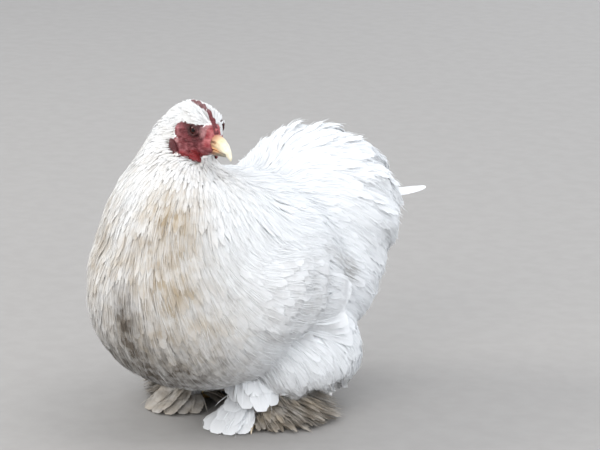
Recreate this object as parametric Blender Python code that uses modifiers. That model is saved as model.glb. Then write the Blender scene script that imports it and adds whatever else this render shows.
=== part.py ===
"""Pekin bantam hen, standing with its head turned to its left: a life-size still model.

Metres, +Z up. The hen faces -Y, so its left side is +X. The origin is on the floor, in the
middle of the model's box. Every node is one closed solid, and nodes that touch keep a small
gap. The solids' surface is the outside of the plumage. Flight, tail and foot feathers are
vanes fused to the node that they grow from.
"""

import math
import random

import bmesh
import bpy
from mathutils import Matrix, Vector
from mathutils.bvhtree import BVHTree

# How far one node is kept off another
NODE_GAP = 0.0004

# Body: the centre and the half-sizes (across, along, up) of each rounded mass of plumage
MASSES = (
    # breast and back, breast's middle, lower breast, rump, cushion, cushion's front
    (Vector((0, -0.001, 0.107)), Vector((0.082, 0.102, 0.072))),
    (Vector((0, -0.026, 0.088)), Vector((0.077, 0.073, 0.054))),
    (Vector((0, -0.022, 0.072)), Vector((0.072, 0.067, 0.045))),
    (Vector((0, 0.079, 0.088)), Vector((0.069, 0.066, 0.056))),
    (Vector((0, 0.104, 0.126)), Vector((0.062, 0.065, 0.064))),
    (Vector((0, 0.090, 0.140)), Vector((0.050, 0.035, 0.050))),
)
BODY_VOXEL = 0.005
BODY_SMOOTHING = 10
BODY_TRIANGLES = 1800
TAIL_TRIANGLES = 900
TAIL_CENTRE = MASSES[4][0]
TAIL_RADIUS = 0.062
# The cushion's feathers run back and down towards this direction
TAIL_AXIS = Vector((0, 0.80, -0.60))
TAIL_FEATHER = (Vector((0.031, 0.138, 0.142)), Vector((0.049, 0.184, 0.139)))

# Neck: centre line and radii from inside the breast up into the head
NECK_LINE = (
    (Vector((0, -0.020, 0.122)), 0.076),
    (Vector((-0.002, -0.029, 0.139)), 0.0700),
    (Vector((-0.005, -0.033, 0.158)), 0.0585),
    (Vector((-0.009, -0.033, 0.176)), 0.0420),
    (Vector((-0.010, -0.030, 0.189)), 0.0290),
    (Vector((-0.011, -0.026, 0.201)), 0.0220),
    (Vector((-0.006, -0.026, 0.210)), 0.0180),
)

# Cuts between the nodes of the body: a point on the plane and its normal
NECK_CUT = (Vector((0, -0.030, 0.150)), Vector((0, -0.34, 1)).normalized())
HEAD_CUT = (Vector((0.002, -0.029, 0.1910)), Vector((0.30, 0, 1)).normalized())
TAIL_CUT = (Vector((0, 0.070, 0.150)), Vector((0, 1, 0.42)).normalized())

# Head: its own frame has +X to the bill, +Y to the hen's left and +Z up
HEAD_CENTRE = Vector((0.006, -0.027, 0.2115))
HEAD_TURN = math.radians(80)
HEAD_NOD = math.radians(8)
HEAD_VOXEL = 0.0014
HEAD_SMOOTHING = 5
HEAD_TRIANGLES = 760
EYE_RADIUS = 0.0047
EYE_PLACE = Vector((0.0085, 0.0099, 0.0050))
LID_THICKNESS = 0.0009
MOUTH_LEVEL = -0.0062
LOBE_PLACE = Vector((-0.0012, 0.0195, -0.0110))
WATTLE_ROOT = Vector((0.0090, 0.0105, -0.0090))
WATTLE_LENGTH = 0.0130
LOBE_HALF = Vector((0.0031, 0.0022, 0.0080))
LOBE_SLANT = math.radians(-32)
COMB_HALF_THICKNESS = 0.0012
COMB_SPIKES = (0.0024, 0.0034, 0.0038, 0.0036, 0.0028)

# Wings: a low mound on the side of the body, and the vanes that run back from it
WING_CENTRE = Vector((0.078, -0.020, 0.104))
WING_LENGTH = 0.054
WING_HEIGHT = 0.030
WING_THICKNESS = 0.0055
WING_SLOPES = {1: math.radians(-15), -1: math.radians(-24)}
WING_DROPS = {1: 0.0, -1: 0.006}

# Legs: where each foot stands, and the thigh's mass of fluff above it
FEET = {1: Vector((0.027, 0.003, 0)), -1: Vector((-0.031, 0.012, 0))}
THIGH_CENTRE = Vector((0.046, 0.038, 0.050))
THIGH_HALF = Vector((0.036, 0.051, 0.034))
# Turns of its hanging feathers, from straight ahead round the outer side to the rear
THIGH_TURNS = (8, 38, 68, 98, 128, 158)
SHANK_RADIUS = 0.0122
HOCK_HEIGHT = 0.046
TOE_HEIGHT = 0.0034
TOES = (
    # name, turn outwards from straight ahead in degrees, length, thickness
    ("inner", -34, 0.024, 0.0037),
    ("middle", 0, 0.033, 0.0042),
    ("outer", 34, 0.027, 0.0038),
    ("hind", 188, 0.015, 0.0035),
)
CLAW_LENGTH = 0.0080
# Each foot points a little outwards
FOOT_TURN = math.radians(6)

# A vane's stations along its spine, and its half-width there, as shares
VANE_STATIONS = (0.0, 0.30, 0.65, 0.88, 1.0)
VANE_WIDTHS = (0.30, 0.80, 1.0, 0.78, 0.16)
VANE_THICKNESS = 0.0013


def clear_scene():
    for obj in list(bpy.data.objects):
        bpy.data.objects.remove(obj)


def new_collection(name):
    made = bpy.data.collections.new(name)
    bpy.context.scene.collection.children.link(made)
    return made


def add_object(name, mesh, group=None):
    obj = bpy.data.objects.new(name, mesh)
    (group or bpy.context.scene.collection).objects.link(obj)
    return obj


def taken_mesh(obj):
    """The object's mesh as evaluated, in world space. The object is removed."""
    bpy.context.view_layer.update()
    graph = bpy.context.evaluated_depsgraph_get()
    mesh = bpy.data.meshes.new_from_object(obj.evaluated_get(graph))
    mesh.transform(obj.matrix_world)
    bpy.data.objects.remove(obj)
    return mesh


def mesh_from(form, name="form"):
    bmesh.ops.recalc_face_normals(form, faces=form.faces)
    mesh = bpy.data.meshes.new(name)
    form.to_mesh(mesh)
    form.free()
    return mesh


def welded(mesh, distance=0.00001):
    form = bmesh.new()
    form.from_mesh(mesh)
    bmesh.ops.remove_doubles(form, verts=form.verts, dist=distance)
    return mesh_from(form)


def ball(centre, half, turn=None, segments=28, rings=18):
    """An ellipsoid of these half-sizes."""
    form = bmesh.new()
    bmesh.ops.create_uvsphere(form, u_segments=segments, v_segments=rings, radius=1)
    place = Matrix.Translation(centre) @ (turn or Matrix()) @ Matrix.Diagonal((*half, 1))
    bmesh.ops.transform(form, matrix=place, verts=form.verts)
    return mesh_from(form)


def tube(line, resolution=3):
    """A round tube through (point, radius) pairs, with closed ends."""
    curve = bpy.data.curves.new("tube", "CURVE")
    curve.dimensions = "3D"
    curve.bevel_depth = 1
    curve.bevel_resolution = resolution
    curve.use_fill_caps = True
    spline = curve.splines.new("POLY")
    spline.points.add(len(line) - 1)
    for point, (place, radius) in zip(spline.points, line):
        point.co = (*place, 1)
        point.radius = radius
    return welded(taken_mesh(add_object("tube", curve)))


def joined(meshes):
    form = bmesh.new()
    for mesh in meshes:
        form.from_mesh(mesh)
    return mesh_from(form)


def fused(meshes, voxel, smoothing):
    """One smooth skin round all the meshes."""
    obj = add_object("fused", joined(meshes))
    remesh = obj.modifiers.new("remesh", "REMESH")
    remesh.mode = "VOXEL"
    remesh.voxel_size = voxel
    smooth = obj.modifiers.new("smooth", "SMOOTH")
    smooth.iterations = smoothing
    return taken_mesh(obj)


def reduced(mesh, triangles):
    """The mesh with about this many triangles."""
    obj = add_object("fine", mesh.copy())
    fewer = obj.modifiers.new("fewer", "DECIMATE")
    fewer.ratio = triangles / (2 * len(obj.data.polygons))
    return taken_mesh(obj)


def flattened(mesh):
    """The mesh without the edges that only divide a flat face."""
    form = bmesh.new()
    form.from_mesh(mesh)
    bmesh.ops.dissolve_limit(
        form, angle_limit=math.radians(1.2), verts=form.verts, edges=form.edges
    )
    bmesh.ops.triangulate(form, faces=form.faces)
    return mesh_from(form)


def largest(mesh):
    """The closed surface of the greatest volume, without loose scraps."""
    form = bmesh.new()
    form.from_mesh(mesh)
    bmesh.ops.triangulate(form, faces=form.faces)
    left = set(form.faces)
    best, best_volume = None, 0
    while left:
        patch, edge = set(), [left.pop()]
        while edge:
            face = edge.pop()
            patch.add(face)
            for side in face.edges:
                for other in side.link_faces:
                    if other in left:
                        left.remove(other)
                        edge.append(other)
        volume = 0
        for face in patch:
            a, b, c = (vert.co for vert in face.verts)
            volume += a.dot(b.cross(c)) / 6
        if abs(volume) > best_volume:
            best, best_volume = patch, abs(volume)
    bmesh.ops.delete(form, geom=[f for f in form.faces if f not in best], context="FACES")
    return mesh_from(form)


def combined(mesh, others, operation):
    """The mesh with the others added to it or cut from it."""
    group = bpy.data.collections.new("operands")
    bpy.context.scene.collection.children.link(group)
    for other in others:
        add_object("operand", other, group)
    obj = add_object("base", mesh)
    boolean = obj.modifiers.new("boolean", "BOOLEAN")
    boolean.operation = operation
    boolean.operand_type = "COLLECTION"
    boolean.collection = group
    made = taken_mesh(obj)
    for operand in list(group.objects):
        bpy.data.objects.remove(operand)
    bpy.data.collections.remove(group)
    return largest(made)


def united(meshes):
    return combined(meshes[0], meshes[1:], "UNION")


def cut(mesh, *cutters):
    return combined(mesh, cutters, "DIFFERENCE")


def cut_at(mesh, plane, side):
    """The part of the mesh on one side of the plane, half a gap off it."""
    point, normal = plane
    normal = normal * side
    form = bmesh.new()
    form.from_mesh(mesh)
    geometry = form.verts[:] + form.edges[:] + form.faces[:]
    bmesh.ops.bisect_plane(
        form,
        geom=geometry,
        dist=0.00001,
        plane_co=point + normal * NODE_GAP / 2,
        plane_no=normal,
        clear_inner=True,
    )
    rim = [edge for edge in form.edges if edge.is_boundary]
    bmesh.ops.holes_fill(form, edges=rim)
    return largest(mesh_from(form))


def grown(mesh, distance=NODE_GAP):
    """A copy of the mesh with its surface moved out by the distance."""
    form = bmesh.new()
    form.from_mesh(mesh)
    form.normal_update()
    for vert in form.verts:
        vert.co += vert.normal * distance * vert.calc_shell_factor()
    return mesh_from(form)


def surface_of(mesh):
    form = bmesh.new()
    form.from_mesh(mesh)
    bmesh.ops.triangulate(form, faces=form.faces)
    tree = BVHTree.FromBMesh(form)
    form.free()
    return tree


def laid(surface, start, direction, length, lifts):
    """Points of a spine that runs over a surface at these heights above it, with the surface's normals."""
    points, normals = [], []
    here = Vector(start)
    heading = Vector(direction).normalized()
    last = 0
    for station, lift in zip(VANE_STATIONS, lifts):
        here = here + heading * (station - last) * length
        last = station
        place, normal, _, _ = surface.find_nearest(here)
        heading = (heading - normal * heading.dot(normal)).normalized()
        here = place
        points.append(place + normal * lift)
        normals.append(normal)
    return points, normals


def vane(points, normals, half_width, roll=0.0, thickness=VANE_THICKNESS):
    """A feather as a thin closed blade along a spine, thickest on its shaft."""
    form = bmesh.new()
    rings = []
    for i, (point, normal) in enumerate(zip(points, normals)):
        ahead = points[min(i + 1, len(points) - 1)] - points[max(i - 1, 0)]
        across = ahead.cross(normal).normalized()
        up = across.cross(ahead).normalized()
        across, up = (
            across * math.cos(roll) + up * math.sin(roll),
            up * math.cos(roll) - across * math.sin(roll),
        )
        reach = across * half_width * VANE_WIDTHS[i]
        rise = up * thickness / 2
        rings.append([form.verts.new(point + step) for step in (reach, rise, -reach, -rise)])
    for ring, following in zip(rings, rings[1:]):
        for k in range(4):
            a, b = ring[k], ring[(k + 1) % 4]
            c, d = following[(k + 1) % 4], following[k]
            # The diagonal starts at the blade's edge, so that both its sides split alike
            if k % 2 == 0:
                form.faces.new((a, b, c))
                form.faces.new((a, c, d))
            else:
                form.faces.new((a, b, d))
                form.faces.new((b, c, d))
    form.faces.new(rings[0])
    form.faces.new(rings[-1])
    bmesh.ops.triangulate(form, faces=[f for f in form.faces if len(f.verts) > 3])
    return mesh_from(form)


def make_plumage():
    """Body, rump, cushion and neck as one smooth form, to be cut into nodes."""
    forms = [ball(centre, half) for centre, half in MASSES]
    return fused(forms + [tube(NECK_LINE, resolution=10)], BODY_VOXEL, BODY_SMOOTHING)


def make_guide(plumage):
    """The body with its thighs blended in: the smooth surface that the feathers lie along."""
    forms = [plumage]
    for side in (1, -1):
        centre = Vector((THIGH_CENTRE.x * side, THIGH_CENTRE.y, THIGH_CENTRE.z))
        forms.append(ball(centre, THIGH_HALF))
    return surface_of(fused(forms, BODY_VOXEL, 4))


def head_frame():
    turn = Matrix.Rotation(HEAD_TURN - math.pi / 2, 4, "Z")
    nod = Matrix.Rotation(HEAD_NOD, 4, "Y")
    return Matrix.Translation(HEAD_CENTRE) @ turn @ nod


def mirrored(place, side):
    return Vector((place.x, place.y * side, place.z))


def make_head_form():
    """Skull, face, brows, cheeks and the top of the neck, in the head's own frame."""
    into_head = head_frame().inverted()
    forms = [
        tube([(into_head @ place, radius) for place, radius in NECK_LINE[-4:]], resolution=8),
        ball((-0.004, 0, 0.0012), (0.0240, 0.0166, 0.0166)),
        ball((0.008, 0, -0.0035), (0.0145, 0.0108, 0.0110)),
        tube((((0.009, 0, -0.010), 0.0072), ((-0.002, 0, -0.024), 0.0150))),
    ]
    for side in (1, -1):
        forms.append(ball((0.0065, 0.0082 * side, 0.0085), (0.0085, 0.0042, 0.0034)))
        forms.append(ball((0.0010, 0.0070 * side, -0.0065), (0.0125, 0.0080, 0.0100)))
    return reduced(fused(forms, HEAD_VOXEL, HEAD_SMOOTHING), HEAD_TRIANGLES)


def make_lid(side):
    """The ring of the two lids round one eye."""
    bpy.ops.mesh.primitive_torus_add(
        major_segments=14,
        minor_segments=5,
        major_radius=EYE_RADIUS * 0.82,
        minor_radius=LID_THICKNESS,
    )
    ring = bpy.context.object
    turn = Matrix.Rotation(math.radians(90), 4, "X")
    out = Matrix.Translation(mirrored(EYE_PLACE + Vector((0, 0.0036, 0)), side))
    mesh = taken_mesh(ring)
    mesh.transform(out @ turn @ Matrix.Diagonal((1.08, 0.92, 1, 1)))
    return mesh


def make_bills():
    """Upper and lower bill, hooked at the tip, parted along the mouth line."""
    upper = tube(
        (
            (Vector((0.0130, 0, -0.0030)), 0.0062),
            (Vector((0.0190, 0, -0.0020)), 0.0060),
            (Vector((0.0245, 0, -0.0024)), 0.0051),
            (Vector((0.0295, 0, -0.0040)), 0.0039),
            (Vector((0.0335, 0, -0.0064)), 0.0025),
            (Vector((0.0360, 0, -0.0090)), 0.0013),
            (Vector((0.0368, 0, -0.0108)), 0.0004),
        ),
        resolution=3,
    )
    hook = Vector((0.0335, 0, MOUTH_LEVEL - 0.0008))
    below = box(Vector((0.000, -0.02, -0.03)), Vector((hook.x, 0.02, MOUTH_LEVEL)))
    upper = cut(upper, below)
    nostrils = [
        ball((0.0235, 0.0046 * side, -0.0008), (0.0019, 0.0014, 0.0009), segments=10, rings=6)
        for side in (1, -1)
    ]
    upper = cut(upper, *nostrils)
    lower = tube(
        (
            (Vector((0.0130, 0, -0.0078)), 0.0048),
            (Vector((0.0210, 0, -0.0078)), 0.0037),
            (Vector((0.0270, 0, -0.0079)), 0.0026),
            (Vector((0.0312, 0, -0.0080)), 0.0016),
            (Vector((0.0328, 0, -0.0078)), 0.0009),
        ),
        resolution=3,
    )
    above = box(
        Vector((0.000, -0.02, MOUTH_LEVEL - NODE_GAP)), Vector((0.05, 0.02, 0.03))
    )
    return upper, cut(lower, above)


def box(low, high):
    form = bmesh.new()
    bmesh.ops.create_cube(form, size=1)
    place = Matrix.Translation((low + high) / 2) @ Matrix.Diagonal((*(high - low), 1))
    bmesh.ops.transform(form, matrix=place, verts=form.verts)
    return mesh_from(form)


def make_comb(surface):
    """A small single comb: a row of spikes from the bill's base to the crown, thinner upwards."""
    front, back = 0.0190, -0.0090
    steps = len(COMB_SPIKES)
    # The outline as (ahead, height over the head's top line), from the front base over the spikes and back
    outline = [(front + 0.0010, -0.0030), (front + 0.0008, 0.0012)]
    for i, height in enumerate(COMB_SPIKES):
        centre = front + (back - front) * (i + 0.5) / steps
        notch = front + (back - front) * (i + 1) / steps
        outline.append((centre - 0.0004, height * 0.94))
        outline.append((centre - 0.0016, height))
        outline.append((notch, height * 0.42))
    outline[-1] = (back - 0.0020, 0.0010)
    outline += [(back, -0.0030), (0.5 * (front + back), -0.0030)]
    form = bmesh.new()
    sides = []
    for side in (1, -1):
        ring = []
        for x, height in outline:
            crown = surface.ray_cast(Vector((x, 0, 0.05)), Vector((0, 0, -1)))[0]
            thick = COMB_HALF_THICKNESS * (1.25 - 0.75 * min(1, max(0, height) / 0.008))
            ring.append(form.verts.new((x, thick * side, crown.z + height)))
        sides.append(ring)
        form.faces.new(ring)
    for i in range(len(outline)):
        k = (i + 1) % len(outline)
        form.faces.new((sides[0][i], sides[0][k], sides[1][k], sides[1][i]))
    bmesh.ops.triangulate(form, faces=form.faces)
    return mesh_from(form)


def make_head_nodes(neck):
    """Every node of the head, turned and nodded into place."""
    frame = head_frame()
    core = make_head_form()
    outside = grown(core)
    surface = surface_of(core)
    upper, lower = make_bills()
    nodes = {
        "beak_upper": cut(upper, outside),
        "beak_lower": cut(lower, outside),
        "comb": cut(make_comb(surface), outside),
    }
    head = united([core, make_lid(1), make_lid(-1)])
    sockets = []
    for side, name in ((1, "left"), (-1, "right")):
        place = mirrored(EYE_PLACE, side)
        socket = EYE_RADIUS + NODE_GAP
        sockets.append(ball(place, (socket, socket, socket), segments=16, rings=10))
        nodes["eye_" + name] = ball(
            place, (EYE_RADIUS, EYE_RADIUS, EYE_RADIUS), segments=14, rings=8
        )
        lobe_place, _, _, _ = surface.find_nearest(mirrored(LOBE_PLACE, side))
        slant = Matrix.Rotation(LOBE_SLANT, 4, "Y")
        lobe = ball(lobe_place, LOBE_HALF, slant, segments=10, rings=7)
        nodes["earlobe_" + name] = cut(lobe, outside)
        hang = laid(
            surface,
            mirrored(WATTLE_ROOT, side),
            Vector((0, 0.15 * side, -1)),
            WATTLE_LENGTH,
            (0.0006, 0.0016, 0.0020, 0.0020, 0.0018),
        )
        wattle = vane(*hang, 0.0048, thickness=0.0034)
        nodes["wattle_" + name] = cut(wattle, outside)
    nodes["head"] = cut(head, *sockets)
    hackle = grown(neck)
    for name, mesh in nodes.items():
        mesh.transform(frame)
        if name.startswith(("earlobe", "wattle")):
            nodes[name] = cut(mesh, hackle)
    nodes["head"] = cut_at(nodes["head"], HEAD_CUT, 1)
    return nodes


class Wing:
    """The lie of one wing on the body's side: along runs back from its middle, and up is across it."""

    def __init__(self, side):
        slope = WING_SLOPES[side]
        drop = WING_DROPS[side]
        self.centre = Vector((WING_CENTRE.x * side, WING_CENTRE.y, WING_CENTRE.z - drop))
        self.back = Vector((0, math.cos(slope), math.sin(slope)))
        self.up = Vector((0, -math.sin(slope), math.cos(slope)))

    def place(self, along, height):
        return self.centre + self.back * along + self.up * height

    def rise(self, place):
        """How far the wing's mound stands over the body there."""
        offset = place - self.centre
        reach = math.hypot(offset.dot(self.back) / WING_LENGTH, offset.dot(self.up) / WING_HEIGHT)
        return WING_THICKNESS * (1 - reach**2) ** 0.8 if reach < 1 else 0.0


def make_mound(wing, guide):
    """The wing's own body: an oval patch of the body's side, raised to a smooth mound."""
    rings, spokes = 4, 14
    form = bmesh.new()
    layers = []
    for inner in (False, True):
        grid = []
        for i in range(rings + 1):
            reach = i / rings
            row = []
            for k in range(spokes if i else 1):
                turn = 2 * math.pi * k / spokes
                along = math.cos(turn) * reach * WING_LENGTH
                height = math.sin(turn) * reach * WING_HEIGHT
                place = wing.place(along, height)
                spot, normal, _, _ = guide.find_nearest(place)
                lift = -0.003 if inner else wing.rise(place) - 0.0006
                row.append(form.verts.new(spot + normal * lift))
            grid.append(row)
        for k in range(spokes):
            n = (k + 1) % spokes
            form.faces.new((grid[0][0], grid[1][k], grid[1][n]))
            for i in range(1, rings):
                form.faces.new((grid[i][k], grid[i + 1][k], grid[i + 1][n], grid[i][n]))
        layers.append(grid)
    for k in range(spokes):
        n = (k + 1) % spokes
        form.faces.new((layers[0][-1][k], layers[0][-1][n], layers[1][-1][n], layers[1][-1][k]))
    bmesh.ops.triangulate(form, faces=form.faces)
    return mesh_from(form)


def make_wing(side, torso, thigh, guide, draws):
    """A folded wing: its body, flight feathers, and coverts in tiers over them."""
    wing = Wing(side)
    pieces = [make_mound(wing, guide)]
    tiers = (
        # count, lowest root and highest root (along, up), their lengths, half-width, height at the tip
        (3, (0.016, -0.020), (0.024, -0.008), (0.060, 0.056), 0.0090, 0.0012),
        (5, (0.008, -0.020), (0.030, 0.020), (0.052, 0.042), 0.0100, 0.0034),
        (5, (-0.014, -0.021), (0.006, 0.022), (0.043, 0.036), 0.0100, 0.0040),
        (4, (-0.036, -0.016), (-0.018, 0.019), (0.039, 0.034), 0.0105, 0.0044),
    )
    for count, first, last, lengths, half_width, high in tiers:
        for i in range(count):
            share = i / (count - 1)
            along = first[0] + (last[0] - first[0]) * share
            height = first[1] + (last[1] - first[1]) * share
            length = (lengths[0] + (lengths[1] - lengths[0]) * share) * draws.uniform(0.96, 1.04)
            droop = math.radians(3 - 12 * share + draws.uniform(-1.5, 1.5))
            heading = wing.back * math.cos(droop) - wing.up * math.sin(droop)
            lifts = [-0.0012 + (high + 0.0012) * station for station in VANE_STATIONS]
            points, normals = laid(guide, wing.place(along, height), heading, length, lifts)
            points = [p + n * wing.rise(p) for p, n in zip(points, normals)]
            pieces.append(vane(points, normals, half_width, roll=math.radians(7) * side))
    return cut(united(pieces), grown(torso), grown(thigh))


def make_tail(core, guide, draws):
    """The cushion: a rounded core under tiers of broad vanes that run back and down over it."""
    pieces = [core]
    across = Vector((1, 0, 0))
    crown = across.cross(TAIL_AXIS)
    crown = crown if crown.z > 0 else -crown
    tiers = (
        # angle of the roots from the tail's axis, vanes in the ring, turn between them, length, half-width
        (136, 5, 28, 0.050, 0.0125),
        (112, 9, 25, 0.050, 0.0130),
        (88, 11, 25, 0.048, 0.0135),
        (64, 10, 28, 0.046, 0.0130),
        (40, 7, 38, 0.040, 0.0125),
    )
    point, normal = TAIL_CUT
    for level, (polar, count, step, length, half_width) in enumerate(tiers):
        angle = math.radians(polar)
        for i in range(count):
            turn = math.radians((i - (count - 1) / 2) * step + draws.uniform(-1.5, 1.5))
            ring = across * math.sin(turn) + crown * math.cos(turn)
            out = ring * math.sin(angle) + TAIL_AXIS * math.cos(angle)
            start = TAIL_CENTRE + out * TAIL_RADIUS
            if (start - point).dot(normal) < 0.004:
                continue
            heading = TAIL_AXIS * math.sin(angle) - ring * math.cos(angle)
            high = (0.0066 - 0.0007 * level) * draws.uniform(0.85, 1.2)
            lifts = [-0.0015 + (high + 0.0015) * station for station in VANE_STATIONS]
            long = length * draws.uniform(0.94, 1.06)
            points, normals = laid(guide, start, heading, long, lifts)
            pieces.append(vane(points, normals, half_width, roll=math.radians(5)))
    # One main tail feather shows its curved end beyond the cushion, on the left
    spine = [TAIL_FEATHER[0].lerp(TAIL_FEATHER[1], t) for t in VANE_STATIONS]
    spine = [p + Vector((0, 0, 0.004 * (t**2 - t))) for p, t in zip(spine, VANE_STATIONS)]
    side_on = Vector((0.8, -0.3, 0.5)).normalized()
    pieces.append(vane(spine, [side_on] * len(spine), 0.0045, thickness=0.0016))
    return united(pieces)


def make_thigh(side, torso, draws):
    """The thigh's rounded fluff, with broad feathers hanging from its outer and rear sides."""
    centre = Vector((THIGH_CENTRE.x * side, THIGH_CENTRE.y, THIGH_CENTRE.z))
    form = ball(centre, THIGH_HALF, segments=14, rings=9)
    surface = surface_of(ball(centre, THIGH_HALF))
    pieces = [form]
    for turn in THIGH_TURNS:
        turn = math.radians(turn + draws.uniform(-3, 3))
        out = Vector((math.sin(turn) * side * THIGH_HALF.x, -math.cos(turn) * THIGH_HALF.y, 0))
        start = centre + out * 0.97 + Vector((0, 0, 0.004))
        slope = Vector((0, 0.35, -1))
        lifts = (-0.0012, 0.0012, 0.0034, 0.0056, 0.0070)
        points, normals = laid(surface, start, slope, 0.037 * draws.uniform(0.93, 1.07), lifts)
        pieces.append(vane(points, normals, 0.0115, roll=math.radians(6)))
    return cut(united(pieces), grown(torso))


def foot_frame(side):
    """The foot's own frame: +X ahead, +Y outwards and +Z up, on the floor under the ankle."""
    ahead = Matrix.Rotation(math.radians(-90) + FOOT_TURN * side, 4, "Z")
    return Matrix.Translation(FEET[side]) @ ahead @ Matrix.Diagonal((1, side, 1, 1))


def make_toe(turn, length, thickness):
    """One toe with its claw, in the foot's frame."""
    way = Vector((math.cos(turn), math.sin(turn), 0))
    line = [
        (way * length * t + Vector((0, 0, TOE_HEIGHT + lift)), thickness * share)
        for t, lift, share in (
            (0.0, 0.0022, 1.15),
            (0.30, 0.0006, 0.98),
            (0.60, 0.0, 0.94),
            (0.92, 0.0, 0.80),
            (1.0, 0.0, 0.45),
        )
    ]
    claw = [
        (way * (length + CLAW_LENGTH * t) + Vector((0, 0, height)), radius)
        for t, height, radius in (
            (-0.3, 0.0034, 0.0016),
            (0.15, 0.0040, 0.0017),
            (0.55, 0.0034, 0.0012),
            (1.0, 0.0012, 0.0003),
        )
    ]
    return [tube(line, resolution=1), tube(claw, resolution=1)]


def foot_vane(start, turn, length, half_width, heights, roll=math.radians(10)):
    """A feather that springs out from the foot and lies over towards the floor."""
    way = Vector((math.cos(turn), math.sin(turn), 0))
    low, middle, end = heights
    points = []
    for t in VANE_STATIONS:
        height = low * (1 - t) ** 2 + 2 * middle * t * (1 - t) + end * t**2
        points.append(Vector((start.x, start.y, 0)) + way * length * t + Vector((0, 0, height)))
    normals = [Vector((0, 0, 1))] * len(points)
    return vane(points, normals, half_width, roll=roll)


def make_leg(side, thigh, torso, draws):
    """The feathered shank, the toes with claws, and tiers of feathers on the outer side of the foot."""
    frame = foot_frame(side)
    shank = [
        (Vector((0.001, 0, 0.008)), SHANK_RADIUS * 0.85),
        (Vector((-0.002, 0.002, 0.022)), SHANK_RADIUS),
        (Vector((-0.006, 0.006, HOCK_HEIGHT)), SHANK_RADIUS * 1.4),
    ]
    boot = ball((-0.001, 0.003, 0.0080), (0.0125, 0.0105, 0.0088), segments=14, rings=8)
    pieces = [tube(shank, resolution=3), boot]
    for _, turn, length, thickness in TOES:
        pieces += make_toe(math.radians(turn), length, thickness)
    tiers = (
        # count, turn of the first and last, their lengths, half-width, heights at root, middle and tip
        (7, (42, 168), (0.022, 0.036), 0.0095, (0.0045, 0.0110, 0.0016)),
        (6, (50, 160), (0.022, 0.032), 0.0090, (0.0095, 0.0190, 0.0068)),
        (4, (40, 140), (0.020, 0.026), 0.0090, (0.0150, 0.0260, 0.0150)),
    )
    for count, turns, lengths, half_width, heights in tiers:
        for i in range(count):
            share = i / (count - 1)
            turn = math.radians(turns[0] + (turns[1] - turns[0]) * share + draws.uniform(-3, 3))
            # The feathers are longest on the foot's outer side
            swell = 1 + 0.85 * math.sin(math.pi * share**1.25)
            length = (lengths[0] + (lengths[1] - lengths[0]) * share) * swell
            start = Vector((math.cos(turn) * 0.0090, 0.002 + math.sin(turn) * 0.0080, 0))
            pieces.append(foot_vane(start, turn, length, half_width, heights))
    front = (
        # turn, length, heights, over the toes
        (-16, 0.030, (0.0080, 0.0170, 0.0040)),
        (8, 0.034, (0.0085, 0.0190, 0.0030)),
    )
    for turn, length, heights in front:
        pieces.append(foot_vane(Vector((0.004, 0, 0)), math.radians(turn), length, 0.0095, heights))
    leg = united(pieces)
    leg.transform(frame)
    leg = cut_at(leg, (Vector((0, 0, -NODE_GAP / 2)), Vector((0, 0, 1))), 1)
    return cut(leg, grown(thigh), grown(torso))


def make_nodes():
    draws = random.Random(11)
    fine = make_plumage()
    guide = make_guide(fine)
    plumage = reduced(fine, BODY_TRIANGLES)
    torso = cut_at(cut_at(plumage, NECK_CUT, -1), TAIL_CUT, -1)
    neck = cut_at(cut_at(plumage, NECK_CUT, 1), HEAD_CUT, -1)
    cushion = cut_at(cut_at(reduced(fine, TAIL_TRIANGLES), NECK_CUT, -1), TAIL_CUT, 1)
    nodes = {
        "torso": torso,
        "neck": neck,
        "tail": make_tail(cushion, guide, draws),
    }
    nodes.update(make_head_nodes(neck))
    for side, name in ((1, "left"), (-1, "right")):
        thigh = make_thigh(side, torso, draws)
        nodes["wing_" + name] = make_wing(side, torso, thigh, guide, draws)
        nodes["thigh_" + name] = thigh
        nodes["leg_" + name] = make_leg(side, thigh, torso, draws)
    return nodes


def make_materials():
    looks = {
        # name: colour, roughness
        "plumage": ((0.86, 0.85, 0.82, 1), 0.8),
        "flesh": ((0.52, 0.05, 0.05, 1), 0.55),
        "horn": ((0.80, 0.62, 0.30, 1), 0.4),
        "eye": ((0.20, 0.05, 0.02, 1), 0.1),
        "leg_plumage": ((0.74, 0.68, 0.58, 1), 0.8),
    }
    made = {}
    for name, (colour, roughness) in looks.items():
        material = bpy.data.materials.new(name)
        material.use_nodes = True
        shader = material.node_tree.nodes["Principled BSDF"]
        shader.inputs["Base Color"].default_value = colour
        shader.inputs["Roughness"].default_value = roughness
        made[name] = material
    return made


def material_of(name):
    if name.startswith(("comb", "wattle", "earlobe")):
        return "flesh"
    if name.startswith("beak"):
        return "horn"
    if name.startswith("eye"):
        return "eye"
    if name.startswith("leg"):
        return "leg_plumage"
    return "plumage"


def box_middle(meshes):
    """The middle of the box round these meshes."""
    places = [vert.co for mesh in meshes for vert in mesh.vertices]
    low = Vector([min(place[axis] for place in places) for axis in range(3)])
    high = Vector([max(place[axis] for place in places) for axis in range(3)])
    return (low + high) / 2


def add_empty(name, group, frame, parent=None):
    """An empty at the place and turn of a frame, to carry other objects."""
    empty = bpy.data.objects.new(name, None)
    empty.empty_display_size = 0.02
    empty.location = frame.to_translation()
    empty.rotation_euler = frame.to_euler()
    empty.parent = parent
    group.objects.link(empty)
    return empty


def carrier_frames():
    """The frames that carry the head, the wings and the legs, in the hen's own frame."""
    frames = {"body": Matrix(), "head": head_frame()}
    for side, name in ((1, "left"), (-1, "right")):
        wing = Wing(side)
        frames["wing_" + name] = Matrix.Translation(wing.centre) @ Matrix.Rotation(
            WING_SLOPES[side], 4, "X"
        )
        frames["foot_" + name] = Matrix.Translation(FEET[side]) @ Matrix.Rotation(
            FOOT_TURN * side, 4, "Z"
        )
    return frames


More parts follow.
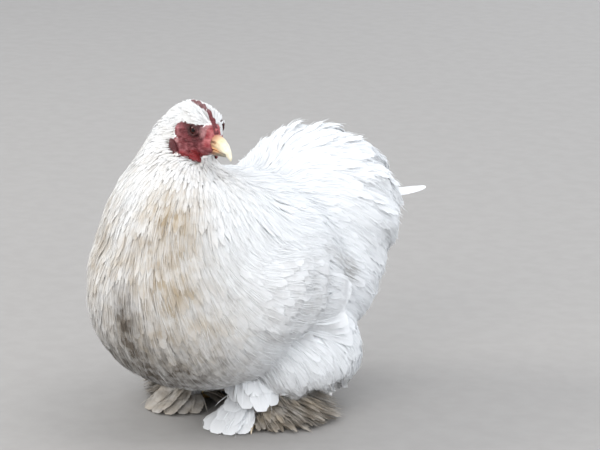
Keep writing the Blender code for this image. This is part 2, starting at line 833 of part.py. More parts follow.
def carrier_of(name):
    if name.startswith("wing"):
        return name
    if name.startswith("leg"):
        return name.replace("leg", "foot")
    if name in ("torso", "neck", "tail", "thigh_left", "thigh_right"):
        return "body"
    return "head"


def add_node(name, mesh, group, frame, carrier, material):
    """A node with its origin in its own middle, at its place on its carrier."""
    mesh = flattened(mesh)
    mesh.transform(frame.inverted())
    middle = box_middle([mesh])
    mesh.transform(Matrix.Translation(-middle))
    mesh.materials.clear()
    mesh.materials.append(material)
    mesh.shade_smooth()
    mesh.set_sharp_from_angle(angle=math.radians(40))
    obj = add_object(name, mesh, group)
    obj.parent = carrier
    obj.location = middle


def main():
    clear_scene()
    bantam = new_collection("pekin_bantam")
    nodes = make_nodes()
    # The middle of the model's box stands over the origin
    middle = box_middle(nodes.values())
    stand = Matrix.Translation((-middle.x, -middle.y, 0))
    root = add_empty("stand", bantam, stand)
    frames = carrier_frames()
    carriers = {name: add_empty(name + "_frame", bantam, frames[name], root) for name in frames}
    materials = make_materials()
    for name, mesh in nodes.items():
        carrier = carrier_of(name)
        material = materials[material_of(name)]
        add_node(name, mesh, bantam, frames[carrier], carriers[carrier], material)


main()
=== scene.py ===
"""A white pekin bantam hen: skin, plumage, face, bill, eyes and feet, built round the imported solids.

Metres, +Z up. The hen faces -Y, so its left side is +X, and the origin is on the floor.
"""

import math
from dataclasses import dataclass, replace

import bmesh
import bpy
import numpy as np
from numpy.linalg import norm
from mathutils import Matrix, Vector, geometry, noise
from mathutils.bvhtree import BVHTree


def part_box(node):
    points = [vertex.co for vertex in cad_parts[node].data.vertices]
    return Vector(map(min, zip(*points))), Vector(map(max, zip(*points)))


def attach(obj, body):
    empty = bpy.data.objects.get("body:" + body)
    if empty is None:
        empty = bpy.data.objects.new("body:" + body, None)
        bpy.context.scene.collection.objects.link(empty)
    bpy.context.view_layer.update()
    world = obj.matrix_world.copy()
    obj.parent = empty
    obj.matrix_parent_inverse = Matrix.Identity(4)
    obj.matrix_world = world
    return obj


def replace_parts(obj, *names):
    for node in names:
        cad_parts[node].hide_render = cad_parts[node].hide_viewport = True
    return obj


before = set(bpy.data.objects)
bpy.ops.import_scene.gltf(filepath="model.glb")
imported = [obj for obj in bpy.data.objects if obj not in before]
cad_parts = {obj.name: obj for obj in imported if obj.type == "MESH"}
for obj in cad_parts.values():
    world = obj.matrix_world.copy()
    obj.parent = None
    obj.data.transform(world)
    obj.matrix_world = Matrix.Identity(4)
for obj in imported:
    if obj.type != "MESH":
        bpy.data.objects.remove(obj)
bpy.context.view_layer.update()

# Camera: the point it circles, and how far right and up of that point the frame's middle lies
CAMERA_PIVOT = Vector((0.0002, -0.0411, 0))
CAMERA_AZIMUTH = math.radians(40)
CAMERA_ELEVATION = math.radians(18)
CAMERA_DISTANCE = 2.0
CAMERA_AIM = (0.0595, 0.134)
CAMERA_ANGLE = math.radians(12.27)

# Studio: the light from all round, then each lamp's place, size, watts and colour
WORLD_COLOUR = (0.9, 0.94, 1.0, 1)
WORLD_STRENGTH = 1.14
LIT_PLACE = Vector((0, -0.03, 0.1))
LAMPS = {
    "key": ((0.9, 0.3, 1.9), 1.4, 15, (1.0, 0.99, 0.98)),
    "fill": ((0.5, -2.2, 1.3), 1.6, 28, (1.0, 0.965, 0.92)),
    "side": ((-1.9, -0.9, 1.5), 1.6, 40, (1.0, 0.985, 0.95)),
    "low": ((2.0, -0.7, 0.45), 1.2, 17, (0.93, 0.965, 1.0)),
    "rear": ((-0.5, 2.1, 1.0), 1.6, 9, (0.95, 0.975, 1.0)),
}
FLOOR_SIZE = 8
FLOOR_TINTS = ((0.262, 0.252, 0.242, 1), (0.276, 0.266, 0.256, 1))

# The solids that the skin and coat stand for
BODY_NODES = ("torso", "neck", "tail", "thigh_left", "thigh_right")
WING_NODES = ("wing_left", "wing_right")
COAT_NODES = (*BODY_NODES, *WING_NODES, "head")
FLESH_NODES = ("comb", "wattle_left", "wattle_right", "earlobe_left", "earlobe_right")
SIDES = {1: "left", -1: "right"}

# Voxel size and rounds of smoothing for each form that is made again from solids
GUIDE_GRAIN = (0.0028, 12)
BODY_GRAIN = (0.003, 6)
HEAD_GRAIN = (0.00033, 4)
BILL_GRAIN = (0.00028, 4)
LEG_GRAIN = (0.00055, 3)

# How deep the skin lies in the solids of the body, and under the feathers of the head
SKIN_DEPTH = 0.0026
SKIN_UNDER_FEATHERS = 0.0011
# How high the pebbles and folds of the bare skin stand, and the rings round the eye
PEBBLE_HEIGHT = 0.00009
FOLD_HEIGHT = 0.0002
RING_HEIGHT = 0.00007

# Head: its own frame has +X to the bill, +Y to the hen's left and +Z up
HEAD_NOD = math.radians(8)
EYE_AHEAD = 0.0085
EYE_RISE = 0.005
EYE_RADIUS = 0.0047
EYE_SUNK = 0.0015
# The finely made part of the head lies inside this ball: its middle and half-sizes
FINE_MIDDLE = np.array((0.003, 0, 0))
FINE_HALF = np.array((0.028, 0.0255, 0.022))
FINE_MARGIN = 1.15

# Lids: how wide and how high they open and how far they reach, then their thickness from rim to foot
LID_OPENING = (math.radians(47), math.radians(38))
LID_REACH = math.radians(82)
LID_POWER = 1.7
LID_SHARES = np.array((0, 0.05, 0.12, 0.22, 0.38, 0.6, 0.8, 1.0))
LID_OUTSIDE = np.array((0.0003, 0.00062, 0.00085, 0.0008, 0.0007, 0.00085, 0.0008, 0.0004))
LID_INSIDE = np.array((0.0001,) + (0.00002,) * 7)

# Bare face: the middle (ahead, up) and half-sizes of each oval of red skin on the side of the head
BARE_OVALS = (
    ((0.0064, 0.002), (0.0121, 0.008)),
    ((0.0065, -0.008), (0.013, 0.0072)),
    ((0.0175, 0.0), (0.0062, 0.0105)),
)
# Reds of the bare skin, most of them from a deep to a pale tint
CHEEK_TINTS = ((0.155, 0.036, 0.042), (0.29, 0.105, 0.115))
EYE_SKIN_TINTS = ((0.052, 0.006, 0.009), (0.12, 0.018, 0.024))
RIM_TINT = (0.022, 0.0025, 0.0035)
FRONT_TINTS = ((0.24, 0.028, 0.036), (0.46, 0.15, 0.15))
BAND_TINT = (0.46, 0.24, 0.24)
JAW_TINTS = ((0.1, 0.007, 0.009), (0.22, 0.034, 0.038))
EAR_TINT = (0.5, 0.27, 0.27)
CREST_TINT = (0.16, 0.085, 0.088)
FLESH_TINTS = {
    "earlobe_left": (0.055, 0.007, 0.01),
    "earlobe_right": (0.055, 0.007, 0.01),
    "wattle_left": (0.125, 0.005, 0.008),
    "wattle_right": (0.125, 0.005, 0.008),
    "comb": (0.105, 0.02, 0.026),
}

# Bill: tints at its root, middle and tip, the mouth's line, and the nostrils' painted shade
BILL_TINTS_AND_SHADE = {
    "beak_upper": ((0.36, 0.13, 0.075), (0.6, 0.47, 0.28), (0.72, 0.67, 0.52)),
    # The lower bill's middle and tip are dark grey: painted shade under the upper bill
    "beak_lower": ((0.2, 0.075, 0.05), (0.12, 0.105, 0.08), (0.24, 0.22, 0.17)),
}
GAPE_TINT = (0.86, 0.44, 0.2)
GAPE_LEVEL = -0.006
NOSTRIL = np.array((0.0205, 0.0, -0.0008))
NOSTRIL_HALF = np.array((0.0019, 0.0011))
# A dark patch painted in the nostril's hollow: painted shade
NOSTRIL_SHADE_TINT = (0.1, 0.035, 0.015)

# Eye: tints of the pupil, the iris and its dark edge
PUPIL_TINT = (0.003, 0.002, 0.002, 1)
IRIS_TINTS = ((0.045, 0.007, 0.005, 1), (0.1, 0.018, 0.01, 1))
IRIS_EDGE_TINT = (0.015, 0.004, 0.003, 1)

# Plumage: clean white, buff stain, grey-brown grime and painted shade, light let through, barbs along a
# feather
WHITE = (0.945, 0.955, 0.965, 1)
BUFF = (0.58, 0.48, 0.34, 1)
GRIME_AND_SHADE = (0.2, 0.165, 0.13, 1)
TRANSLUCENCY = 0.45
BARBS = 26

# Buff stains: middle, half-sizes and strength of each patch of soiled plumage
BUFF_PATCHES = (
    ((0.024, -0.124, 0.15), (0.022, 0.03, 0.036), 0.8),
    ((0.033, -0.128, 0.112), (0.024, 0.03, 0.028), 0.7),
    ((0.005, -0.133, 0.122), (0.026, 0.03, 0.034), 0.5),
    ((0.004, -0.07, 0.187), (0.012, 0.016, 0.012), 0.75),
    ((0.02, -0.125, 0.08), (0.06, 0.035, 0.035), 0.55),
    ((0.0, -0.09, 0.185), (0.05, 0.05, 0.05), 0.2),
    ((-0.036, -0.122, 0.125), (0.03, 0.036, 0.05), 0.45),
)
# Darker patches, in the same form: partly grime, partly painted shade, as behind the left wing's tip
GRIME_AND_SHADE_PATCHES = (
    # Darker patches on the breast beside the right wing's front edge
    ((0.001, -0.138, 0.078), (0.0095, 0.02, 0.028), 0.95),
    ((-0.01, -0.13, 0.06), (0.0075, 0.024, 0.02), 0.6),
    ((0.014, -0.136, 0.066), (0.016, 0.02, 0.02), 0.5),
    # Low on the belly: partly grime, partly painted shade
    ((0.0, -0.11, 0.048), (0.06, 0.05, 0.03), 0.8),
    ((0.052, -0.1, 0.112), (0.034, 0.036, 0.05), 0.14),
    ((0.084, -0.05, 0.1), (0.03, 0.045, 0.032), 0.18),
    # Four small patches that paint the crescent of shadow behind the left wing's tip: painted shade
    ((0.072, -0.004, 0.124), (0.005, 0.008, 0.003), 0.22),
    ((0.071, 0.012, 0.115), (0.006, 0.007, 0.004), 0.4),
    ((0.065, 0.029, 0.103), (0.007, 0.006, 0.006), 0.45),
    ((0.067, 0.032, 0.095), (0.006, 0.004, 0.006), 0.3),
    ((0.05, -0.09, 0.05), (0.03, 0.035, 0.022), 0.1),
    # Two wide patches that darken the plumage near the floor
    ((0.034, -0.03, 0.008), (0.08, 0.07, 0.018), 0.7),
    ((-0.034, -0.02, 0.008), (0.08, 0.07, 0.018), 0.7),
)

# The cushion's feathers run back and down towards this direction
TAIL_AXIS = np.array((0, 0.8, -0.6))
# The one long tail feather: its line, upper side and sag, where it stands free, and the room round it
TAIL_FEATHER = ((0.031, 0.097, 0.142), (0.0492, 0.1427, 0.1392))
TAIL_FEATHER_UP = np.array((0.6, -0.3, 0.74))
TAIL_FEATHER_SAG = np.array((0, 0, 0.0016))
TAIL_FEATHER_FREE = 0.111
TAIL_FEATHER_ROOM = 0.011

# Coat: most triangles in a piece, its lowest point, stations along a feather, size of a patch of the bake map
PIECE_TRIANGLES = 190000
COAT_LOWEST = 0.0003
STEPS = 6
BAKE_PATCH = 0.003
SHARP_EDGE = math.radians(80)
# How feathers vary in length and width, how far they swirl (degrees) and over
# what distance, how far apart bunches lie, and the tries for each place
LENGTH_RANGE = (0.86, 1.14)
WIDTH_RANGE = (0.88, 1.12)
SWIRL = 11
SWIRL_SCALE = 0.022
BUNCH_SCALE = 0.016
TRIES = 3.2
# Loose barbs: how far each reaches beside the feather's length, and how their widths vary
BARB_REACH = (0.8, 1.12)
BARB_WIDTHS = (0.7, 1.3)


@dataclass
class Kind:
    """One kind of feather at full size, in metres, and its detail as shares of its half-width."""

    length: float
    half_width: float
    depth: float
    lift: float
    rows: int = 10
    fullest: float = 0.55
    point: float = 0.6
    base: float = 0.35
    camber: float = 0.13
    slant: float = 0.8
    notch: float = 0.45
    thickness: float = 0.00016
    wander: float = 5.0
    unruly: float = 0.00025
    bunch: float = 0.0005
    wisps: int = 3
    wisp_lift: float = 0.0004
    wisp_spread: float = 1.0


# Kinds of feather. Where a length or half-width is 0, the feathers get it one by one as they are laid
WISP_KIND = Kind(0, 0.00032, 0, 0, rows=4, fullest=0.4, base=0.6, camber=0, slant=0, notch=0, wander=25)
HEAD_KIND = Kind(0.027, 0.0032, 0.0022, 0.0006, rows=7, point=0.9)
CREST_KIND = Kind(0.034, 0.0036, 0.002, 0.0118, rows=8, point=0.95, bunch=0)
NAPE_KIND = replace(CREST_KIND, lift=0.0062)
HACKLE_KIND = Kind(0.029, 0.003, 0.0018, 0, rows=9, point=0.95, fullest=0.5, wisps=5)
BODY_KIND = Kind(0.029, 0.0038, 0.0017, 0, rows=9, point=0.85, fullest=0.5, bunch=0.0004, wisps=6)
CUSHION_KIND = Kind(0.036, 0.0044, 0.0022, 0.0004, rows=10, point=0.85, bunch=0.0008, wisps=7)
PLUME_KIND = Kind(0.04, 0.004, 0.003, 0.0036, rows=12, point=1, bunch=0.0015, wisps=5, wisp_lift=0.001)
FLUFF_KIND = Kind(0.025, 0.004, 0.002, 0.0005, rows=9, notch=0.6, point=0.8, wander=8, bunch=0.0008, wisps=7)
WING_KIND = Kind(0.025, 0.0046, 0.0018, 0.0004, rows=9, point=0.7, fullest=0.5, wisps=6)
SHANK_KIND = Kind(0.021, 0.0038, 0.001, 0.001, rows=9, point=0.7, wander=7, bunch=0.0006, wisps=6)
FOOT_KIND = Kind(
    0, 0.0032, 0, 0, rows=11, point=0.7, notch=0.6, wander=9, unruly=0.0005, bunch=0.0006, wisps=9,
)
TOE_KIND = Kind(
    0, 0, 0, 0, rows=20, point=0.62, notch=0.15, wander=4, unruly=0.0002, bunch=0.0002, wisps=9,
    wisp_lift=0,
)
QUILL_KIND = Kind(
    0, 0, 0.0022, 0, rows=20, base=0.45, fullest=0.6, point=0.42, notch=0.1, wander=3, wisps=5,
    wisp_lift=0, wisp_spread=0.8,
)
TAIL_KIND = Kind(
    0, 0.0036, 0, 0, rows=24, base=0.8, fullest=0.4, notch=0.1, wander=0, camber=0.35,
    unruly=0, bunch=0, thickness=0.0004, wisps=0,
)

# The scattered parts of the coat: the solids that each covers, its kind of feather and their spacing
SCATTERED = {
    "hackle_feathers": (("neck",), HACKLE_KIND, 0.0036),
    "body_feathers": (("torso",), BODY_KIND, 0.0039),
    "cushion_feathers": (("tail",), CUSHION_KIND, 0.0042),
    "thigh_feathers": (("thigh_left", "thigh_right"), FLUFF_KIND, 0.0037),
}
HEAD_SPACING = 0.0045
CREST_SPACING = 0.0044
NAPE_SPACING = 0.0062
PLUME_SPACING = 0.011
WING_SPACING = 0.0044
SHANK_SPACING = 0.0034

# Wings: the middle of each mound, and how far each slopes down to its tip
WING_MIDDLES = {1: (0.078, -0.061, 0.104), -1: (-0.078, -0.061, 0.098)}
WING_SLOPES = {1: math.radians(-15), -1: math.radians(-24)}
# Wing tiers: count, lowest root and highest root (along, up), their lengths, half-width, height at the tip
WING_TIERS = (
    (6, (0.02, -0.022), (0.03, -0.008), (0.062, 0.06), 0.0062, 0.0012),
    (8, (0.008, -0.018), (0.034, 0.02), (0.066, 0.05), 0.009, 0.0036),
    (9, (0.02, -0.016), (0.038, 0.018), (0.046, 0.036), 0.0064, 0.008),
)

# Feet: where each stands, then each toe's turn outwards, length and thickness
FEET = {1: (0.0272, -0.0381, 0), -1: (-0.0308, -0.0291, 0)}
TOES = ((-34, 0.024, 0.0037), (0, 0.033, 0.0042), (34, 0.027, 0.0038), (188, 0.015, 0.0035))
CLAW_REACH = 0.0096
CLAW_TINT = (0.62, 0.52, 0.38)

# Soft foot feathers: count, turns of the first and last, their lengths, heights at root, middle and tip
FOOT_TIERS = (
    (40, (44, 204), (0.022, 0.036), (0.004, 0.0105, 0.0012)),
    (37, (48, 192), (0.022, 0.035), (0.007, 0.014, 0.003)),
    (31, (54, 166), (0.022, 0.033), (0.0105, 0.0185, 0.006)),
    (25, (64, 158), (0.021, 0.031), (0.0145, 0.023, 0.01)),
    (20, (74, 152), (0.02, 0.028), (0.019, 0.028, 0.0155)),
    (15, (82, 144), (0.016, 0.022), (0.024, 0.032, 0.022)),
)
# Broad feathers over the toes, the front of the hock and the hind toe: turn, length, half-width, heights
BROAD_FEATHERS = (
    (-30, 0.033, 0.0066, (0.007, 0.013, 0.0012)),
    (-17, 0.038, 0.0076, (0.008, 0.015, 0.0012)),
    (-3, 0.04, 0.0082, (0.009, 0.0165, 0.0012)),
    (11, 0.039, 0.0082, (0.0095, 0.0165, 0.0012)),
    (24, 0.035, 0.0076, (0.009, 0.0155, 0.0014)),
    (-20, 0.027, 0.007, (0.0125, 0.02, 0.006)),
    (-5, 0.031, 0.0076, (0.014, 0.022, 0.006)),
    (10, 0.032, 0.0076, (0.0145, 0.022, 0.006)),
    (24, 0.028, 0.007, (0.013, 0.0205, 0.0065)),
    (2, 0.024, 0.008, (0.019, 0.0255, 0.0135)),
    (-44, 0.031, 0.0066, (0.007, 0.012, 0.0012)),
    (6, 0.01, 0.0085, (0.043, 0.045, 0.019)),
    (-18, 0.008, 0.008, (0.042, 0.044, 0.023)),
    (66, 0.019, 0.0085, (0.051, 0.054, 0.0175)),
    (48, 0.02, 0.0095, (0.052, 0.055, 0.0145)),
    (28, 0.018, 0.009, (0.051, 0.054, 0.0165)),
    (60, 0.018, 0.009, (0.057, 0.06, 0.027)),
    (38, 0.018, 0.0095, (0.057, 0.06, 0.0255)),
    (174, 0.03, 0.007, (0.0085, 0.0125, 0.0012)),
    (192, 0.03, 0.007, (0.008, 0.012, 0.0012)),
    (208, 0.027, 0.007, (0.0075, 0.011, 0.0012)),
    (226, 0.021, 0.0065, (0.007, 0.01, 0.0012)),
    (246, 0.016, 0.006, (0.0065, 0.009, 0.0012)),
)
HOCK_HEIGHT = 0.03
# How brown the foot's feathers are: the soft ones, the hind toe's, and the broad front ones of each foot
SOFT_SOIL = 0.32
HIND_SOIL = 0.4
SOIL_TO_BUFF = 2.2
GRIME_AND_SHADE_KEPT = 0.4
# Broad front feathers: cleaner on the left foot, browner on the right, partly dirt and partly painted shade
FRONT_SOIL_AND_SHADE = {1: -0.3, -1: 0.25}

# Seeds of the random draws
SKIN_SEED = 3
COAT_SEED = 7
TAIL_SEED = 11
WING_SEED = 50
SHANK_SEED = 60
FOOT_SEED = 70


def smooth(low, high, value):
    """0 below low, 1 above high and an even rise between them."""
    share = np.clip((value - low) / (high - low), 0, 1)
    return share * share * (3 - 2 * share)


def mixed(first, second, share):
    """Triples between two, each one triple or one a row, by a share for each row."""
    share = share.reshape(-1, 1)
    return np.asarray(first) * (1 - share) + np.asarray(second) * share


def unit(vectors):
    return vectors / np.maximum(norm(vectors, axis=-1, keepdims=True), 1e-12)


def between(ends, share):
    return ends[0] + (ends[1] - ends[0]) * share


def flattened(headings, normals):
    """Headings turned to lie along the surface that has these normals."""
    return unit(headings - normals * (headings * normals).sum(1, keepdims=True))


def array(vector):
    return np.array(vector, float)


def grain(places, scale, offset=0.0):
    """Smooth noise at each place for a scale, or a scale along each axis, about -1 to 1."""
    stretched = (places / np.array(scale) + offset).tolist()
    return np.array([noise.noise(place) for place in stretched]) * 1.8


def new_object(name, mesh):
    obj = bpy.data.objects.new(name, mesh)
    bpy.context.scene.collection.objects.link(obj)
    return obj


def taken_mesh(obj):
    """The object's mesh with its modifiers applied. The object is removed."""
    bpy.context.view_layer.update()
    graph = bpy.context.evaluated_depsgraph_get()
    mesh = bpy.data.meshes.new_from_object(obj.evaluated_get(graph))
    mesh.transform(obj.matrix_world)
    bpy.data.objects.remove(obj)
    return mesh


def mesh_of(points, faces):
    """A mesh from an array of points and an array of faces that all have as many corners."""
    mesh = bpy.data.meshes.new("made")
    sides = faces.shape[1]
    mesh.vertices.add(len(points))
    mesh.vertices.foreach_set("co", points.astype(np.float32).ravel())
    mesh.loops.add(faces.size)
    mesh.loops.foreach_set("vertex_index", faces.astype(np.int32).ravel())
    mesh.polygons.add(len(faces))
    mesh.polygons.foreach_set("loop_start", np.arange(0, faces.size, sides, dtype=np.int32))
    mesh.update(calc_edges=True)
    return mesh


def triples(items, key):
    """One triple of each item of a mesh, such as each point's place."""
    values = np.empty(len(items) * 3, np.float32)
    items.foreach_get(key, values)
    return values.reshape(-1, 3).astype(float)


def points_of(mesh):
    return triples(mesh.vertices, "co")


def normals_of(mesh):
    return triples(mesh.vertex_normals, "vector")


def corners_of(mesh, key):
    """The three vertices or the three loops of each triangle."""
    mesh.calc_loop_triangles()
    corners = np.empty(len(mesh.loop_triangles) * 3, np.int32)
    mesh.loop_triangles.foreach_get(key, corners)
    return corners.reshape(-1, 3)


def set_points(mesh, points):
    mesh.vertices.foreach_set("co", points.astype(np.float32).ravel())
    mesh.update()


def add_map(mesh, name, places):
    """A UV map from one pair of numbers a point."""
    layer = mesh.uv_layers.new(name=name, do_init=False)
    corners = np.empty(len(mesh.loops), np.int32)
    mesh.loops.foreach_get("vertex_index", corners)
    layer.uv.foreach_set("vector", places[corners].astype(np.float32).ravel())


def add_colour(mesh, name, values):
    """A colour attribute from three or four numbers a point."""
    layer = mesh.color_attributes.new(name, "FLOAT_COLOR", "POINT")
    full = np.ones((len(values), 4))
    full[:, : values.shape[1]] = values
    layer.data.foreach_set("color", full.astype(np.float32).ravel())


def add_number(mesh, name, values):
    layer = mesh.attributes.new(name, "FLOAT", "POINT")
    layer.data.foreach_set("value", values.astype(np.float32))


def facing_out(mesh):
    """The mesh with its faces turned outwards."""
    form = bmesh.new()
    form.from_mesh(mesh)
    bmesh.ops.recalc_face_normals(form, faces=form.faces)
    form.to_mesh(mesh)
    form.free()
    return mesh


def ring_faces(rings, rows, around):
    """Four-sided faces from each of so many rings of points to the next, out of all the rows."""
    row, column = np.meshgrid(np.arange(rings), np.arange(around), indexing="ij")
    following, beside = (row + 1) % rows, (column + 1) % around
    corners = ((row, column), (row, beside), (following, beside), (following, column))
    return np.stack([ring * around + place for ring, place in corners], -1).reshape(-1, 4)


def distance_to_line(place, start, end):
    return (place - geometry.intersect_point_line(place, start, end)[0]).length


def fused(nodes, voxel, smoothing, swell=0.0, extra=(), clamp=None):
    """One smooth closed mesh round the solids of these nodes, each first swelled by a little."""
    form = bmesh.new()
    for node in nodes:
        form.from_mesh(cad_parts[node].data)
    bmesh.ops.remove_doubles(form, verts=form.verts, dist=0.000001)
    form.normal_update()
    for point in form.verts:
        point.co += point.normal * swell
        past = point.co.y - TAIL_FEATHER_FREE
        if past > 0 and distance_to_line(point.co, *TAIL_FEATHER) < TAIL_FEATHER_ROOM:
            point.co.y -= past
    for mesh in extra:
        form.from_mesh(mesh)
    mesh = bpy.data.meshes.new("fused")
    form.to_mesh(mesh)
    form.free()
    if clamp:
        set_points(mesh, clamp(points_of(mesh)))
    return remeshed(mesh, voxel, smoothing)


def remeshed(mesh, voxel, smoothing):
    obj = new_object("remeshed", mesh)
    remesh = obj.modifiers.new("remesh", "REMESH")
    remesh.mode = "VOXEL"
    remesh.voxel_size = voxel
    relax = obj.modifiers.new("relax", "SMOOTH")
    relax.iterations = smoothing
    return taken_mesh(obj)


class Surface:
    """A mesh that is asked for its nearest points, with smooth normals."""

    def __init__(self, mesh):
        self.corners = corners_of(mesh, "vertices")
        self.points, self.normals = points_of(mesh), normals_of(mesh)
        self.tree = BVHTree.FromPolygons(self.points.tolist(), self.corners.tolist())

    def nearest(self, places):
        """Each place's nearest spot, its normal, its triangle and its weights there."""
        found = [self.tree.find_nearest(place) for place in places.tolist()]
        spots = np.array([hit[0][:] for hit in found])
        faces = np.array([hit[2] for hit in found])
        a, b, c = (self.points[self.corners[faces, k]] for k in range(3))
        across = np.cross(b - a, c - a)
        area = np.maximum((across**2).sum(1), 1e-30)
        weight_b = (np.cross(spots - a, c - a) * across).sum(1) / area
        weight_c = (np.cross(b - a, spots - a) * across).sum(1) / area
        weights = np.stack([1 - weight_b - weight_c, weight_b, weight_c], 1)
        normals = (self.normals[self.corners[faces]] * weights[:, :, None]).sum(1)
        return spots, unit(normals), faces, weights


NODE_SURFACES = {name: Surface(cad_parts[name].data) for name in (*COAT_NODES, *FLESH_NODES)}


def eye_middle(side):
    return array(sum(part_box("eye_" + SIDES[side]), Vector()) / 2)


def head_frame():
    """The head's own frame, from the two eyes of the solids."""
    eyes = [sum(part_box("eye_" + side), Vector()) / 2 for side in ("left", "right")]
    left = (eyes[0] - eyes[1]).normalized()
    level = left.cross(Vector((0, 0, 1)))
    ahead = level * math.cos(HEAD_NOD) - Vector((0, 0, 1)) * math.sin(HEAD_NOD)
    up = ahead.cross(left)
    turn = Matrix((ahead, left, up)).transposed()
    middle = (eyes[0] + eyes[1]) / 2 - turn @ Vector((EYE_AHEAD, 0, EYE_RISE))
    return Matrix.Translation(middle) @ turn.to_4x4()


HEAD = head_frame()
HEAD_MIDDLE = array(HEAD.translation)
HEAD_TURN = array(HEAD.to_3x3())


def eye_turn(side):
    """Columns: along the lids' opening, across it, and the way that the eye looks."""
    gaze = HEAD.to_3x3() @ Vector((0.24, side, 0.03)).normalized()
    ahead = HEAD.to_3x3() @ Vector((1, 0, -0.1))
    ahead = (ahead - gaze * ahead.dot(gaze)).normalized()
    return array(Matrix((ahead, gaze.cross(ahead), gaze)).transposed())


def in_head(places):
    """The places in the head's own frame."""
    return (places - HEAD_MIDDLE) @ HEAD_TURN


def from_fine_middle(places):
    """How far out each place lies in the ball of the finely made head: 1 on its surface."""
    return norm((in_head(places) - FINE_MIDDLE) / FINE_HALF, axis=1)


def drawn_to_fine(places):
    """Places outside the ball of the finely made head are moved onto it."""
    middle = FINE_MIDDLE @ HEAD_TURN.T + HEAD_MIDDLE
    return middle + (places - middle) / np.maximum(from_fine_middle(places), 1)[:, None]


def lores(places):
    """1 where short feathers lie between the left eye and the bill."""
    ahead, left, rise = in_head(places).T
    return smooth(0.0038, 0.0058, left) * smooth(0.0122, 0.0136, ahead) * smooth(0.0, 0.002, rise)


def bareness(places):
    """1 on the bare red skin of the face, 0 under feathers, with a narrow soft border."""
    ahead, left, rise = in_head(places).T
    aside = np.abs(left)
    ragged = 0.1 * np.sin(ahead * 1900 + 3 * np.sin(rise * 1300))
    reach = np.full(len(places), -9.0)
    for (middle_ahead, middle_rise), (half_ahead, half_rise) in BARE_OVALS:
        oval = ((ahead - middle_ahead) / half_ahead) ** 2 + ((rise - middle_rise) / half_rise) ** 2
        reach = np.maximum(reach, 1 - oval + ragged)
    inside = smooth(-0.12, 0.12, reach - 2 * lores(places))
    off_comb = smooth(0.0035, 0.0055, aside + 1.6 * np.maximum(ahead - 0.0135, 0))
    return inside * off_comb * (1 - smooth(0.02, 0.0215, aside)) * smooth(-0.016, -0.014, rise)


def bare_skin(places):
    """1 on bare red skin: the face, comb, wattles and lobes."""
    bare = np.zeros(len(places))
    near = np.flatnonzero(from_fine_middle(places) < FINE_MARGIN)
    bare[near] = bareness(places[near])
    for name in FLESH_NODES:
        gap = norm(places[near] - NODE_SURFACES[name].nearest(places[near])[0], axis=1)
        bare[near] = np.maximum(bare[near], 1 - smooth(0.0005, 0.001, gap))
    return bare


def lie(places):
    """The way the feathers run at each place: down from the head, back over the body, down at the rear."""
    x, y, z = places.T
    breast = np.stack([0.25 * np.sign(x + 0.01) * smooth(0, 0.05, np.abs(x)), 0.3 + 0 * x, -1 + 0 * x], 1)
    thigh = np.stack([0.35 * np.sign(x), 0.4 + 0 * x, -1 + 0 * x], 1)
    back_of_head = -HEAD_TURN[:, 0] - 0.5 * HEAD_TURN[:, 2]
    from_head = places - HEAD_MIDDLE
    way = np.array((0, 1, -0.3))
    for other, share in (
        (breast, smooth(-0.07, -0.125, y)),
        (unit(from_head), smooth(0.125, 0.17, z) * (1 - smooth(-0.055, -0.015, y))),
        (TAIL_AXIS, smooth(-0.035, 0.02, y) * smooth(0.055, 0.095, z)),
        (thigh, (1 - smooth(0.04, 0.085, z)) * smooth(-0.085, -0.045, y)),
        (back_of_head, 1 - smooth(0.018, 0.034, norm(from_head, axis=1))),
    ):
        way = mixed(way, other, share)
    return unit(way)


def growth(places):
    """Feather size by the distance from the head: small on the face, full on the body."""
    far = norm(places - HEAD_MIDDLE, axis=1)
    return 0.22 + 0.78 * smooth(0.008, 0.085, far)


def head_growth(places):
    return growth(places) * (1 - 0.5 * lores(places))


def patched(places, patches):
    amount = np.zeros(len(places))
    for middle, half, strength in patches:
        reach = (((places - array(middle)) / array(half)) ** 2).sum(1)
        amount = np.maximum(amount, strength * np.exp(-reach * 0.9))
    return amount


def tones(places, draws):
    """Red: buff stain. Green: grey-brown grime and painted shade. Blue: a random number for each place."""
    made = np.ones((len(places), 4))
    vary = draws.random((2, len(places)))
    made[:, 0] = patched(places, BUFF_PATCHES) * (0.6 + 0.8 * vary[0])
    made[:, 1] = patched(places, GRIME_AND_SHADE_PATCHES) * (0.6 + 0.8 * vary[1])
    made[:, 2] = draws.random(len(places))
    return made


def thinned(places, spacings):
    """Which places to keep so that none is closer to an earlier one than its own spacing."""
    widest = spacings.max()
    cells = np.floor(places / widest).astype(int)
    around = [(p, q, r) for p in (-1, 0, 1) for q in (-1, 0, 1) for r in (-1, 0, 1)]
    grid, kept = {}, []
    for i, ((a, b, c), (x, y, z), gap) in enumerate(
        zip(cells.tolist(), places.tolist(), (spacings**2).tolist())
    ):
        clear = all(
            (u - x) ** 2 + (v - y) ** 2 + (w - z) ** 2 >= gap
            for p, q, r in around
            for u, v, w in grid.get((a + p, b + q, c + r), ())
        )
        if clear:
            grid.setdefault((a, b, c), []).append((x, y, z))
            kept.append(i)
    return kept


def scattered(surface, spacing, use, sizes, draws):
    """Random places on these triangles, as far apart as the spacing times the size there."""
    a, b, c = surface.points[surface.corners[use]].transpose(1, 0, 2)
    area = norm(np.cross(b - a, c - a), axis=1) / 2
    area = area / (spacing * sizes((a + b + c) / 3)) ** 2
    count = int(area.sum() * TRIES)
    pick = draws.choice(len(use), count, p=area / area.sum())
    u, v = draws.random((2, count, 1))
    over = u + v > 1
    u, v = np.where(over, 1 - u, u), np.where(over, 1 - v, v)
    places = a[pick] + (b - a)[pick] * u + (c - a)[pick] * v
    return places[thinned(places, spacing * sizes(places))]


